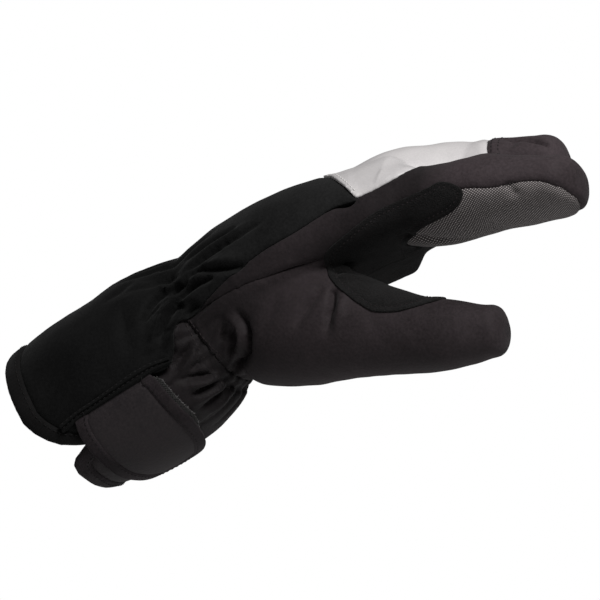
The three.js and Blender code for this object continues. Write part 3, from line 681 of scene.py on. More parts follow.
# Broad swells and dents: middle in millimetres, reach, height
SWELLS = [
    ((-37, 0, 28), 20, 2.4),
    ((12, 0, 45), 22, 0.9),
    ((42, 0, 63), 22, 0.9),
    ((101, 24, 25), 20, -4.0),
    ((118, -34, 14), 12, -1.5),
    ((-8, -12, -60), 18, -4.2),
    ((33, -20, -31), 12, 0.9),
    ((23, -15, -29.5), 4, -2.4),
    ((190, -40, 70), 9, -1.8),
]

# Uneven padding: how high and how broad the cloth waves
WAVES = [(0.55, 24.0), (0.28, 9.0)]


def gather_folds():
    folds = []
    for index in range(GATHERS):
        angle = (index + gather_draw.uniform(-GATHER_OFF, GATHER_OFF)) * 360 / GATHERS
        middle = WRIST_SEAM + gather_draw.uniform(-GATHER_MIDDLE, GATHER_MIDDLE)
        back = gather_draw.uniform(*GATHER_BACK)
        front = gather_draw.uniform(*GATHER_FRONT)
        lean = gather_draw.uniform(-GATHER_LEAN, GATHER_LEAN)
        depth = GATHER_DEPTH * gather_draw.uniform(*GATHER_DEPTHS)
        width = GATHER_WIDTH * gather_draw.uniform(*GATHER_WIDTHS)
        if PLACED_SIDE[0] < (angle + 180) % 360 - 180 < PLACED_SIDE[1]:
            depth *= PLACED_SHARE
        run = [(middle - back, angle - lean), (middle, angle), (middle + front, angle + lean)]
        folds.append(("hand", -depth, width, run))
    return folds


def tree_of(points):
    tree = KDTree(len(points))
    for index, point in enumerate(points):
        tree.insert(point, index)
    tree.balance()
    return tree


def fold_shift(points, folds):
    """How far folds push points out. Each fold's line is laid onto the skin first."""
    shift = np.zeros(len(points))
    tree = tree_of(points)
    for name, height, width, run in folds:
        places, angles = np.array(run, float).T
        stops = np.arange(len(run))
        fine = np.linspace(0, len(run) - 1, FOLD_STEPS * len(run))
        at = smooth_between(stops, places, fine)
        line = TUBES[name].point(at, smooth_between(stops, angles, fine))
        line = np.array([tree.find(point)[0] for point in line])
        for _ in range(FOLD_ROUNDS):
            line[1:-1] = (line[:-2] + 2 * line[1:-1] + line[2:]) / 4
        reach = 3 * width
        near = ((points > line.min(axis=0) - reach) & (points < line.max(axis=0) + reach)).all(axis=1)
        gap = np.linalg.norm(points[near][:, None] - line[None], axis=2)
        nearest = gap.argmin(axis=1)
        share = fine[nearest] / fine[-1]
        fade = np.sin(np.pi * np.clip(share, 0.02, 0.98)) ** FOLD_FADE
        shift[near] += height * fade * np.exp(-((gap.min(axis=1) / width) ** FOLD_SHAPE))
    return shift


def padding_shift(points):
    """How far swells and uneven padding push points out."""
    shift = np.zeros(len(points))
    for middle, reach, height in SWELLS:
        gap = np.linalg.norm(points - np.array(middle), axis=1)
        shift += height * np.exp(-((gap / reach) ** 2))
    for height, width in WAVES:
        shift += height * cloud(points, width)
    return shift


def cloud(points, width):
    """Smooth random values from about -1 to 1."""
    return np.array([noise.noise(Vector(point)) for point in (points / width).tolist()])


def inside_band(place, tube, table, reach=None):
    """How far inside a region of a tube points lie. The table has place, from and to angle."""
    at, angle, out = place
    places, low, high = np.array(table, float).T
    low = smooth_between(places, low, at)
    high = smooth_between(places, high, at)
    off = (angle - (low + high) / 2 + 180) % 360 - 180
    radius = tube.radius_at(at)
    limits = [
        ((high - low) / 2 - np.abs(off)) * np.radians(1) * radius,
        (at - places[0]) * tube.unit_at(at),
        (places[-1] - at) * tube.unit_at(at),
    ]
    if reach:
        limits.append((reach - out) * radius)
    return np.minimum.reduce(limits)


def up_to(table, angle):
    """A table of one seam as a table of two, with one level upper edge."""
    return [[at, start, angle] for at, start in table]


def row_at(table, at):
    places, values = np.array(table, float).T
    return [at, float(np.interp(at, places, values))]


# How far out a region still takes in the skin, in shares of a section or, for the thumb, millimetres.
# The pale panel goes over from its outline in the view to its bands on the tubes at PALE_MIDDLE.
CLOSE_REACH = 1.5
PALE_MIDDLE = -9.0
PALE_BLEND = 8.0
PALE_ROUNDS = 90
PALE_TURN = 0.6
# Angles round the hand are counted from the far seam on, and its unrolled skin ends past the fingertips
LOW_TURN = 360 - FAR_SEAM
PAST_GLOVE = 300.0
CAMERA_TURN = math.radians(16)
POCKET_REACH = 1.3
PALE_REACH = 1.7
THUMB_REACH = 9.0
THUMB_REACH_AT_WRIST = 20.0
THUMB_BALL_END = 0.25


def outline_distance(outline, points):
    """Distance inside a closed outline in a plane, negative outside."""
    ends = np.roll(outline, -1, axis=0)
    best = np.full(len(points), np.inf)
    crossings = np.zeros(len(points), int)
    for start, end in zip(outline, ends):
        side = end - start
        off = points - start
        share = np.clip(off @ side / (side @ side), 0, 1)
        best = np.minimum(best, np.linalg.norm(off - share[:, None] * side, axis=1))
        spans = (start[1] > points[:, 1]) != (end[1] > points[:, 1])
        rise = np.where(side[1] == 0, 1e-9, side[1])
        crossings += spans & (points[:, 0] < start[0] + (points[:, 1] - start[1]) * side[0] / rise)
    return np.where(crossings % 2 == 1, best, -best)


def closed_curve(outline, steps=6):
    """A smooth closed curve through the points of an outline."""
    count = len(outline)
    made = []
    for index in range(count):
        before, start, end, after = (outline[(index + k) % count] for k in (-1, 0, 1, 2))
        made += [on_curve(before, start, end, after, t) for t in np.arange(steps) / steps]
    return np.array(made)


def region_values(points, edges):
    """For each panel, how far inside it the points lie."""
    seen = {name: tube.place(points) for name, tube in TUBES.items()}
    at, hand_angle, _ = seen["hand"]

    def band(name, table, reach=None):
        return inside_band(seen[name], TUBES[name], table, reach)

    thumb_at, _, thumb_reach = seen["thumb"]
    from_thumb = (thumb_reach - 1) * TUBES["thumb"].radius_at(thumb_at)
    slit = [*UNDERLAP, *[row for row in BACK_EDGE if UNDERLAP[-1][0] < row[0] < WRIST_SEAM]]
    cuff_back = [*slit, row_at(BACK_EDGE, WRIST_SEAM)]
    cuff_palm = [[place, FAR_SEAM, 360 + angle] for place, angle in cuff_back]
    back_edge = [*slit, *[row for row in BACK_EDGE if row[0] > WRIST_SEAM]]
    side = [[place, row_at(THUMB_SEAM, place)[1], top] for place, top in SIDE_TOP]
    pale_outline = np.array(PALE_OUTLINE) * PALM["length"]
    seen_flat = np.column_stack([
        points[:, 0] * math.cos(CAMERA_TURN) + points[:, 1] * math.sin(CAMERA_TURN), points[:, 2],
    ])
    pale_near = outline_distance(pale_outline, seen_flat)
    facing = np.minimum(*[np.cos(np.radians(seen[name][1])) for name in ("hand", "index")])
    near_share = np.clip((PALE_MIDDLE + PALE_BLEND - points[:, 1]) / (2 * PALE_BLEND), 0, 1)
    near_share *= np.clip(facing / PALE_TURN + 0.5, 0, 1)
    pale_far = np.maximum.reduce([
        band("hand", REFLECTIVE_ON_HAND, CLOSE_REACH),
        band("index", REFLECTIVE_ON_INDEX, POCKET_REACH),
        band("little", REFLECTIVE_ON_LITTLE, PALE_REACH),
    ])
    pale_far = smoothed(pale_far[:, None], edges, np.ones(len(points)), PALE_ROUNDS)[:, 0]
    turn = (hand_angle + LOW_TURN) % 360 - LOW_TURN
    flat = np.column_stack([at * HAND.behind, np.radians(turn) * CUFF["width"] / 2])
    edge = [[place * HAND.behind, math.radians(angle) * CUFF["width"] / 2] for place, angle in MOUTH_EDGE]
    edge += [[PAST_GLOVE, edge[-1][1]], [PAST_GLOVE, edge[0][1]]]
    from_mouth = outline_distance(np.array(edge), flat)
    on_back = (turn - CUFF_CORNER) * math.radians(CUFF["width"] / 2)
    caps = {}
    for name, pocket in (("index", INDEX_POCKET), ("little", LITTLE_POCKET)):
        place, _, reach = seen[name]
        past = (place - POCKET_CAP) * TUBES[name].ahead
        caps[name] = np.minimum(past, (POCKET_REACH - reach) * pocket["depth"] / 2)
    outline = closed_curve(np.array(PATCH_OUTLINE)) * PALM["length"]
    values = {
        "mouth": from_mouth,
        "cuff_hem": np.minimum(HEM_WIDTH - from_mouth, on_back),
        "cuff_palm_hem": np.minimum(PALM_HEM_WIDTH - from_mouth, -on_back),
        "thumb": np.minimum.reduce([
            THUMB_REACH + THUMB_REACH_AT_WRIST * np.clip(1 - at / THUMB_BALL_END, 0, 1) - from_thumb,
            -band("hand", up_to(THUMB_SEAM, FAR_SEAM)),
            (at - WRIST_SEAM) * HAND.unit_at(at),
        ]),
        "reflective_panel": near_share * pale_near + (1 - near_share) * pale_far,
        "cuff_palm_panel": band("hand", cuff_palm),
        "index_middle_grip": band("index", INDEX_GRIP, POCKET_REACH),
        "ring_little_grip": band("little", LITTLE_GRIP, POCKET_REACH),
        "index_side_panel": np.maximum.reduce([
            band("hand", side, CLOSE_REACH),
            band("index", INDEX_SOFTSHELL, POCKET_REACH),
            caps["index"],
        ]),
        "ring_little_back": np.maximum(band("little", LITTLE_SOFTSHELL, POCKET_REACH), caps["little"]),
        "back_panel": band("hand", up_to(back_edge, FAR_SEAM)),
        "crotch_patch": np.minimum(
            outline_distance(outline, points[:, [0, 2]]), PATCH_BACK * PALM["width"] - points[:, 1]
        ),
    }
    for name, (place, angle, _) in seen.items():
        values[name + "_at"] = place
        turn = np.radians(angle)
        values[name + "_cos"] = np.cos(turn)
        values[name + "_sin"] = np.sin(turn)
    return values


# Panels in the order in which they are cut, with the tube that their cloth lies along
PANELS = [
    ("cuff_hem", "hand"), ("cuff_palm_hem", "hand"), ("thumb", "thumb"), ("reflective_panel", "hand"),
    ("cuff_palm_panel", "hand"), ("index_middle_grip", "index"), ("ring_little_grip", "little"),
    ("index_side_panel", "index"), ("ring_little_back", "little"), ("back_panel", "hand"),
]

points, triangles = joined_surface()
points = rounded_joins(points, triangles)
skin = Cloth(points, triangles, {})
shift = fold_shift(points, gather_folds() + FOLDS) + padding_shift(points)
points = points + skin.normals() * shift[:, None]
skin = Cloth(points, triangles, region_values(points, edges_of(triangles)))
for axis, values in zip("xyz", skin.normals().T):
    skin.add("normal_" + axis, values)
skin = skin.part(skin.split("mouth"))
uncut = skin.part(np.ones(len(skin.triangles), bool))
panels = {name: uncut.take(name) for name, _ in PANELS}
panels["palm_panel"] = uncut.without_bits()
patch = skin.part(skin.split("crotch_patch")).without_bits()


# Making pieces

SLOTS = {
    "back_panel": "softshell", "reflective_panel": "reflective",
    "index_side_panel": "softshell", "ring_little_back": "softshell", "index_middle_grip": "grip_mesh",
    "ring_little_grip": "grip_mesh", "thumb": "softshell", "palm_panel": "suede", "crotch_patch": "suede",
    "cuff_palm_panel": "softshell", "cuff_hem": "binding", "cuff_palm_hem": "binding",
    "slit_facing": "softshell", "closure_tab": "softshell", "tab_binding": "binding", "hook_pad": "hook",
}
# The back is one cloth from the cuff's hem to the knuckles
STANDS_FOR = {"back_panel": ["back_panel", "cuff_back_panel"]}


def mesh_piece(name, points, faces, materials, nodes=None, which=None, uv=None):
    """Makes a Blender object from points in millimetres, riding on the glove."""
    mesh = bpy.data.meshes.new("sewn_" + name)
    mesh.from_pydata((np.asarray(points) * MM).tolist(), [], faces)
    for material in materials:
        mesh.materials.append(material)
    if which is not None:
        mesh.polygons.foreach_set("material_index", np.asarray(which, np.int32))
    if uv is not None:
        layer = mesh.uv_layers.new(name="cloth")
        corners = np.zeros(len(mesh.loops), int)
        mesh.loops.foreach_get("vertex_index", corners)
        layer.data.foreach_set("uv", np.asarray(uv)[corners].ravel())
    mesh.polygons.foreach_set("use_smooth", np.ones(len(mesh.polygons), bool))
    mesh.set_sharp_from_angle(angle=math.radians(55))
    mesh.update()
    piece = add_object("sewn_" + name, mesh)
    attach(piece, "root")
    if nodes:
        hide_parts(*nodes)
    return piece


def normals_of(cloth):
    return unit(np.column_stack([cloth.value("normal_" + axis) for axis in "xyz"]))


def cloth_places(cloth, tube):
    """Where the cloth's threads run: millimetres round and along its tube."""
    at = cloth.value(tube + "_at")
    cos, sin = cloth.value(tube + "_cos"), cloth.value(tube + "_sin")
    middle = math.atan2(sin.mean(), cos.mean())
    turn = (np.arctan2(sin, cos) - middle + math.pi) % (2 * math.pi) - math.pi
    radius = TUBES[tube].sizes[:, :2].mean()
    return np.column_stack([turn * radius, at * TUBES[tube].unit_at(at)])


def thick(cloth, normals, lift, depth, bulge=0.0, rim_steps=1):
    """A closed sheet: the cloth lifted off, its underside, and a rim that may bulge."""
    top = cloth.points + normals * np.reshape(lift, (-1, 1))
    bottom = cloth.points + normals * np.reshape(lift - depth, (-1, 1))
    count = len(top)
    border = cloth.border()
    faces = [*cloth.triangles.tolist(), *(cloth.triangles[:, ::-1] + count).tolist()]
    points = [top, bottom]
    along = unit(cloth.points[border[:, 1]] - cloth.points[border[:, 0]])
    out = sum(summed(end, np.cross(along, normals[end]), count) for end in border.T)
    edge = np.unique(border)
    number = np.full(count, -1)
    number[edge] = np.arange(len(edge))
    rows = [edge]
    total = 2 * count
    for step in range(1, rim_steps):
        turn = math.pi * step / rim_steps
        mix = (1 - math.cos(turn)) / 2
        place = top[edge] * (1 - mix) + bottom[edge] * mix + unit(out[edge]) * bulge * math.sin(turn)
        points.append(place)
        rows.append(np.arange(len(edge)) + total)
        total += len(edge)
    rows.append(edge + count)
    for upper, lower in zip(rows, rows[1:]):
        a, b = number[border[:, 0]], number[border[:, 1]]
        faces += np.column_stack([upper[b], upper[a], lower[a], lower[b]]).tolist()
    which = np.zeros(len(faces), int)
    which[len(cloth.triangles):2 * len(cloth.triangles)] = 1
    return np.vstack(points), faces, which, edge


RIM_STEPS = 4


def sheet_piece(name, cloth, lift, depth, finish, back=None, bulge=0.3, rim_steps=RIM_STEPS, tube="hand"):
    """Makes a thick sheet of a cloth a piece. Its underside may have a finish of its own."""
    made, faces, which, rim = thick(cloth, normals_of(cloth), lift, depth, bulge, rim_steps)
    uv = cloth_places(cloth, tube)
    uv = np.vstack([uv, uv, *[uv[rim]] * (rim_steps - 1)])
    finishes = [finish, back or finish]
    mesh_piece(name, made, faces, finishes, STANDS_FOR.get(name, [name]), which, uv)


# Cloth finishes

def new_material(name):
    material = bpy.data.materials.new(name)
    material.use_nodes = True
    material.node_tree.nodes.clear()
    return material


def node(tree, kind, inputs=None, **settings):
    """A shader node with its settings, and its inputs set or linked by name or number."""
    made = tree.nodes.new(kind)
    for key, value in settings.items():
        setattr(made, key, value)
    for key, value in (inputs or {}).items():
        if isinstance(value, bpy.types.NodeSocket):
            tree.links.new(value, made.inputs[key])
        else:
            made.inputs[key].default_value = value
    return made


def new_group(name, inputs, outputs):
    group = bpy.data.node_groups.new(name, "ShaderNodeTree")
    for label, kind, value in inputs:
        socket = group.interface.new_socket(label, in_out="INPUT", socket_type="NodeSocket" + kind)
        if value is not None:
            socket.default_value = value
    for label, kind in outputs:
        group.interface.new_socket(label, in_out="OUTPUT", socket_type="NodeSocket" + kind)
    return group, group.nodes.new("NodeGroupInput"), group.nodes.new("NodeGroupOutput")


def maths(tree, operation, *values):
    """One step of arithmetic. Each value is a number or a socket."""
    return node(tree, "ShaderNodeMath", dict(enumerate(values)), operation=operation).outputs[0]


def weave_group():
    """Crossing threads: the height of a plain weave."""
    group, source, target = new_group(
        "Weave", [("Cloth", "Vector", None), ("Pitch", "Float", 0.6)], [("Height", "Float")]
    )
    parts = node(group, "ShaderNodeSeparateXYZ", {0: source.outputs["Cloth"]})
    turn = maths(group, "DIVIDE", 2 * math.pi, source.outputs["Pitch"])
    waves = [
        maths(group, "SINE", maths(group, "MULTIPLY", parts.outputs[axis], turn)) for axis in (0, 1)
    ]
    height = maths(group, "MULTIPLY_ADD", maths(group, "MULTIPLY", *waves), 0.5, 0.5)
    group.links.new(height, target.inputs["Height"])
    return group


def mottle_group():
    """Uneven dyeing and rubbing: a broad and a fine cloud mixed into one mask."""
    group, source, target = new_group(
        "Mottle",
        [("Broad Scale", "Float", 30.0), ("Fine Scale", "Float", 900.0), ("Fine Share", "Float", 0.3)],
        [("Mask", "Float")],
    )
    place = node(group, "ShaderNodeTexCoord")
    clouds = [
        node(
            group, "ShaderNodeTexNoise",
            {"Vector": place.outputs["Object"], "Scale": source.outputs[scale], "Detail": 4.0},
        )
        for scale in ("Broad Scale", "Fine Scale")
    ]
    mixed = node(
        group, "ShaderNodeMix",
        {0: source.outputs["Fine Share"], 2: clouds[0].outputs["Fac"], 3: clouds[1].outputs["Fac"]},
    )
    spread = node(group, "ShaderNodeMapRange", {0: mixed.outputs[0], 1: 0.36, 2: 0.64})
    group.links.new(spread.outputs[0], target.inputs["Mask"])
    return group


# Painted light and shade: the rows' colour factors are kept as shares of this top factor
PAINTED_SHADING_TOP = 4.0


def along_group():
    """How far along its tube the cloth is, as a share of the way between two places."""
    group, source, target = new_group(
        "Along", [("Cloth", "Vector", None), ("Start", "Float", 0.0), ("End", "Float", 100.0)],
        [("Share", "Float")],
    )
    run = node(group, "ShaderNodeSeparateXYZ", {0: source.outputs["Cloth"]})
    ends = {1: source.outputs["Start"], 2: source.outputs["End"]}
    share = node(group, "ShaderNodeMapRange", {0: run.outputs[1], **ends})
    group.links.new(share.outputs[0], target.inputs["Share"])
    return group


def painted_shading_group():
    """A colour made lighter or darker by painted light and shade. An input of 1 stands for the top factor
    of the painted shading times the colour.
    """
    group, source, target = new_group(
        "Painted Shading", [("Colour", "Color", None), ("Painted Lightness", "Float", 0.25)], [("Colour", "Color")]
    )
    times = maths(group, "MULTIPLY", source.outputs["Painted Lightness"], PAINTED_SHADING_TOP)
    paler = node(
        group, "ShaderNodeVectorMath", {0: source.outputs["Colour"], 3: times}, operation="SCALE"
    )
    group.links.new(paler.outputs[0], target.inputs["Colour"])
    return group


WEAVE = weave_group()
MOTTLE = mottle_group()
ALONG = along_group()
PAINTED_SHADING_GROUP = painted_shading_group()


def use_group(tree, group, inputs):
    return node(tree, "ShaderNodeGroup", inputs, node_tree=group)


def cloth_uv(tree):
    return node(tree, "ShaderNodeUVMap", uv_map="cloth").outputs["UV"]


def two_tone(tree, mask, dark, light):
    mixed = node(tree, "ShaderNodeMix", {0: mask, 6: (*dark, 1), 7: (*light, 1)}, data_type="RGBA")
    return mixed.outputs[2]


def finish_material(material, colour, roughness, height, bump_mm, gloss, sheen=0.0):
    """Shader, bump and output of a finish."""
    tree = material.node_tree
    bump = node(tree, "ShaderNodeBump", {"Height": height, "Distance": bump_mm * MM})
    shader = node(tree, "ShaderNodeBsdfPrincipled", {
        "Base Color": colour, "Roughness": roughness, "Specular IOR Level": gloss, "Sheen Weight": sheen,
        "Sheen Roughness": 0.5, "Normal": bump.outputs[0],
    })
    output = node(tree, "ShaderNodeOutputMaterial")
    tree.links.new(shader.outputs[0], output.inputs["Surface"])
    return material


def add_painted_shading(tree, colour, shading_rows):
    """A colour with painted light and shade along its tube. The rows say how light the cloth is painted at
    each millimetre along its tube.
    """
    start, end = shading_rows[0][0], shading_rows[-1][0]
    share = use_group(tree, ALONG, {"Cloth": cloth_uv(tree), "Start": start, "End": end})
    steps = node(tree, "ShaderNodeValToRGB", {0: share.outputs["Share"]})
    ramp = steps.color_ramp.elements
    for index, (along, pale) in enumerate(shading_rows):
        place = (along - start) / (end - start)
        stop = ramp[index] if index < 2 else ramp.new(place)
        stop.position = place
        stop.color = (pale / PAINTED_SHADING_TOP, pale / PAINTED_SHADING_TOP, pale / PAINTED_SHADING_TOP, 1)
    return use_group(tree, PAINTED_SHADING_GROUP, {"Colour": colour, "Painted Lightness": steps.outputs[0]}).outputs["Colour"]


# Clouds in a cloth's colour: broad scale, fine scale and the fine one's share
SOFTSHELL_CLOUDS = (26.0, 700.0, 0.45)
SUEDE_CLOUDS = (60.0, 1600.0, 0.6)
PALE_CLOUDS = (40.0, 1200.0, 0.35)
TAPE_CLOUDS = (50.0, 900.0, 0.4)
HOOK_CLOUDS = (120.0, 1500.0, 0.7)
FLEECE_CLOUDS = (90.0, 700.0, 0.6)
THREAD_CLOUDS = (300.0, 2500.0, 0.5)
FLOOR_CLOUDS = (3.0, 60.0, 0.3)


def cloud_mask(tree, clouds):
    scales = dict(zip(("Broad Scale", "Fine Scale", "Fine Share"), clouds))
    return use_group(tree, MOTTLE, scales).outputs["Mask"]


def cloth_finish(
    name, dark, light, clouds, rough, bump_mm, gloss, sheen=0.0, pitch=None, mixed=None, shading_rows=None
):
    """A cloth in two tones. It stands up in clouds, in a weave of that pitch, or in both mixed."""
    material = new_material(name)
    tree = material.node_tree
    mask = cloud_mask(tree, clouds)
    colour = two_tone(tree, mask, dark, light)
    # Painted light and shade along the tube: the cloth is lighter where the light falls and darker where
    # shade falls
    if shading_rows:
        colour = add_painted_shading(tree, colour, shading_rows)
    if isinstance(rough, tuple):
        rough = node(tree, "ShaderNodeMapRange", {0: mask, 3: rough[0], 4: rough[1]}).outputs[0]
    height = mask
    if pitch:
        height = use_group(tree, WEAVE, {"Cloth": cloth_uv(tree), "Pitch": pitch}).outputs["Height"]
    if mixed:
        height = maths(tree, "MULTIPLY_ADD", height, mixed, mask)
    return finish_material(material, colour, rough, height, bump_mm, gloss, sheen)


SOFT_DARK, SOFT_LIGHT = (0.0085, 0.0062, 0.0068), (0.0185, 0.0142, 0.0155)


def softshell_finish(name, dark=SOFT_DARK, light=SOFT_LIGHT, pitch=0.7, gloss=0.12, shading_rows=None):
    return cloth_finish(
        name, dark, light, SOFTSHELL_CLOUDS, (0.62, 0.78), 0.12, gloss, 0.02, pitch, 0.6, shading_rows
    )


def tape_finish(name, dark, light):
    return cloth_finish(name, dark, light, TAPE_CLOUDS, 0.7, 0.14, 0.06, 0.02, 0.9)


def thread_finish(name, colour):
    light = tuple(value * 1.8 for value in colour)
    return cloth_finish(name, colour, light, THREAD_CLOUDS, 0.6, 0.08, 0.1)


def grip_finish():
    """Open mesh: pale dots in rows on a dark ground."""
    material = new_material("grip mesh")
    tree = material.node_tree
    dots = use_group(tree, WEAVE, {"Cloth": cloth_uv(tree), "Pitch": 1.5})
    mask = node(tree, "ShaderNodeMapRange", {0: dots.outputs["Height"], 1: 0.62, 2: 0.82}).outputs[0]
    colour = two_tone(tree, mask, (0.045, 0.040, 0.040), (0.36, 0.328, 0.322))
    return finish_material(material, colour, 0.75, mask, 0.25, 0.15)


# Painted light and shade: millimetres along the tube, and how light the cloth is painted there. The cloth
# is painted lighter towards the fingertips, where the light falls, and darker near the wrist and the
# knuckles, where shade falls.
INDEX_PAINTED_SHADING = [(-110, 0.35), (-78, 0.7), (-45, 1.25), (-15, 0.85), (26, 0.68), (48, 2.0), (110, 2.1)]
LITTLE_PAINTED_SHADING = [(0, 1.0), (20, 1.1), (45, 2.2), (95, 2.3)]
BACK_PAINTED_SHADING = [(-100, 1.0), (0, 1.0), (40, 2.0), (100, 2.4)]
THUMB_PAINTED_SHADING = [(0, 0.5), (20, 0.9), (42, 1.3), (85, 1.35), (140, 1.35)]
PALM_CUFF_PAINTED_SHADING = [(-110, 1.0), (-55, 0.85), (-28, 0.6), (0, 0.42)]
# The back cloth is painted lighter towards the fingers, where the light falls
BACK_CLOTH = softshell_finish(
    "smooth black softshell", (0.0018, 0.0018, 0.0018), (0.0052, 0.0052, 0.0052), gloss=0.05, shading_rows=BACK_PAINTED_SHADING
)
TAB_TAPE = tape_finish("tab tape", (0.009, 0.007, 0.0078), (0.021, 0.017, 0.0185))
TAB_CLOTH = softshell_finish("tab softshell", (0.010, 0.008, 0.009), (0.022, 0.018, 0.019), pitch=0.9)
LINING = cloth_finish(
    "fleece lining", (0.010, 0.010, 0.011), (0.040, 0.038, 0.038), FLEECE_CLOUDS, 0.95, 0.5, 0.05, 0.05
)
BLACK_THREAD = thread_finish("black thread", (0.0060, 0.0054, 0.0056))
PATCH_THREAD = thread_finish("patch thread", (0.0125, 0.0100, 0.0106))
ELASTIC_THREAD = thread_finish("elastic thread", (0.012, 0.0095, 0.010))
PALE_FUZZ = thread_finish("pale fuzz", (0.11, 0.105, 0.105))
GREY_THREAD = thread_finish("pale grey thread", (0.42, 0.41, 0.40))
# Finishes by slot. Softshell panels have their own, because each has its own painted light and shade.
FINISHES = {
    "suede": cloth_finish(
        "black suede", (0.0040, 0.0038, 0.0038), (0.0120, 0.0114, 0.0114), SUEDE_CLOUDS, 0.92, 0.35,
        0.05, 0.03,
    ),
    "reflective": cloth_finish(
        "pale reflective cloth", (0.395, 0.379, 0.380), (0.480, 0.461, 0.459), PALE_CLOUDS, 0.46, 0.05, 0.5,
        pitch=0.45, mixed=0.3,
    ),
    "grip_mesh": grip_finish(),
    "hook": cloth_finish(
        "hook tape", (0.006, 0.006, 0.006), (0.030, 0.029, 0.028), HOOK_CLOUDS, 0.8, 0.4, 0.2, pitch=1.2
    ),
    "binding": tape_finish("black binding tape", (0.0014, 0.0013, 0.0013), (0.0050, 0.0046, 0.0047)),
}
PANEL_FINISHES = {
    "back_panel": BACK_CLOTH,
    "cuff_palm_hem": TAB_TAPE,
    "index_side_panel": softshell_finish("index softshell", shading_rows=INDEX_PAINTED_SHADING),
    "ring_little_back": softshell_finish("little softshell", shading_rows=LITTLE_PAINTED_SHADING),
    "thumb": softshell_finish("thumb softshell", shading_rows=THUMB_PAINTED_SHADING),
    "cuff_palm_panel": softshell_finish("palm cuff softshell", shading_rows=PALM_CUFF_PAINTED_SHADING),
}
# Sewn panels: each sinks into its seams and swells between them
SEAM_SINK = 0.75
SEAM_REACH = 1.8
SEAM_TURN = 0.5
# Small puckers beside the seams, and the folded rear edge of the pale panel
PUCKER = 0.45
PUCKER_WIDTH = 4.5
PUCKER_REACH = 4.0
FOLDED_EDGE = 0.7
FOLDED_REACH = 6.0
PALE_REAR = 0.88
PALE_REAR_FADE = 0.03
# Bindings rise to their height over HEM_ROUND from the edge, and their rims bulge
HEM_ROUND = 0.8
HEM_BULGE = 0.6
# The palm side of the cuff hangs lower beside the slit's upper end
SLIT_OPENING = -0.27
SLIT_OPENING_HALF = 0.1
SLIT_OPENING_COS = 0.8
SLIT_DROP = 3.0
SLIT_DROP_REACH = 4.0
# The back of the cuff lies over the tab along the slit
SLIT_RUN = (-0.76, -0.22)
SLIT_SIN = 0.2
SLIT_RISE = 1.5
SLIT_RISE_REACH = 7.0


def nearest_gap(points, targets):
    """Distance from each point to the nearest target."""
    tree = tree_of(targets)
    return np.array([tree.find(point)[2] for point in points])


def near_edge(cloth, edge, height, reach):
    """A rise along some points of a cloth's edge that fades over a reach."""
    return height * np.exp(-((nearest_gap(cloth.points, cloth.points[edge]) / reach) ** 2))


def make_panels():
    for name, tube in [*PANELS, ("palm_panel", "hand")]:
        cloth = panels[name]
        at = cloth.value("hand_at")
        edge = np.unique(cloth.border())
        gap = nearest_gap(cloth.points, cloth.points[edge])
        sunk = np.exp(-((gap / SEAM_REACH) ** 2))
        pucker = PUCKER * cloud(cloth.points, PUCKER_WIDTH) * np.exp(-gap / PUCKER_REACH) * (1 - sunk)
        lift = pucker - SEAM_SINK * sunk
        if name == "reflective_panel":
            rear = np.clip((PALE_REAR - at) / PALE_REAR_FADE, 0, 1)
            lift += rear * (SEAM_SINK * sunk + FOLDED_EDGE * np.exp(-gap / FOLDED_REACH))
        if name == "back_panel":
            beside = (at > SLIT_RUN[0]) & (at < SLIT_RUN[1]) & (cloth.value("hand_sin") < SLIT_SIN)
            lift += near_edge(cloth, edge[beside[edge]], SLIT_RISE, SLIT_RISE_REACH)
        if name == "cuff_palm_panel":
            beside = np.abs(at - SLIT_OPENING) < SLIT_OPENING_HALF
            beside &= cloth.value("hand_cos") > SLIT_OPENING_COS
            lift -= near_edge(cloth, edge[beside[edge]], SLIT_DROP, SLIT_DROP_REACH)
        bulge = 0.0
        if "hem" in name:
            lift = HEM_RISE * (1 - np.exp(-gap / HEM_ROUND))
            bulge = HEM_BULGE
        else:
            lift[edge] -= SEAM_TURN
        finish = PANEL_FINISHES.get(name) or FINISHES[SLOTS[name]]
        sheet_piece(name, cloth, lift, WALL, finish, LINING, bulge, RIM_STEPS if bulge else 1, tube)


make_panels()


PATCH_LOW = 0.1
PATCH_SEAM = 2.2
PATCH_SEAM_WIDTH = 0.7
PATCH_SEAM_DEPTH = 0.4


def make_patch():
    """The suede patch lies on the panels and is sewn down just inside its edge."""
    seam = np.exp(-(((patch.value("crotch_patch") - PATCH_SEAM) / PATCH_SEAM_WIDTH) ** 2))
    lift = PATCH_LOW + PATCH_THICKNESS - PATCH_SEAM_DEPTH * seam
    sheet_piece("crotch_patch", patch, lift, PATCH_THICKNESS + SEATED, FINISHES["suede"], bulge=0.35)


make_patch()


def contours(cloth, name, level):
    """Lines on a cloth where a value has a level, as runs of points with their normals."""
    values = cloth.value(name) - level
    values[values == 0] = 1e-6
    above = (values > 0)[cloth.triangles].sum(axis=1)
    data = np.column_stack([cloth.points, normals_of(cloth)])
    rows = {}
    links = {}
    for corners in cloth.triangles[(above == 1) | (above == 2)].tolist():
        ends = []
        for a, b in zip(corners, corners[1:] + corners[:1]):
            if (values[a] > 0) != (values[b] > 0):
                low, high = min(a, b), max(a, b)
                share = values[low] / (values[low] - values[high])
                rows[low, high] = data[low] + share * (data[high] - data[low])
                ends.append((low, high))
        links.setdefault(ends[0], []).append(ends[1])
        links.setdefault(ends[1], []).append(ends[0])
    left = dict.fromkeys(sorted(links, key=lambda key: len(links[key])))
    runs = []
    while left:
        here = next(iter(left))
        run = []
        while here is not None:
            run.append(rows[here])
            del left[here]
            here = next((key for key in links[here] if key in left), None)
        run = np.array(run)
        runs.append((run[:, :3], unit(run[:, 3:])))
    return runs


STITCH = 1.8
STITCH_GAP = 1.0
THREAD = 0.22
STITCH_SHAPE = [(0.0, 0.35, -1.3), (0.12, 0.9, 0.1), (0.5, 1.0, 0.55), (0.88, 0.9, 0.1), (1.0, 0.35, -1.3)]
STITCH_SIDES = 6


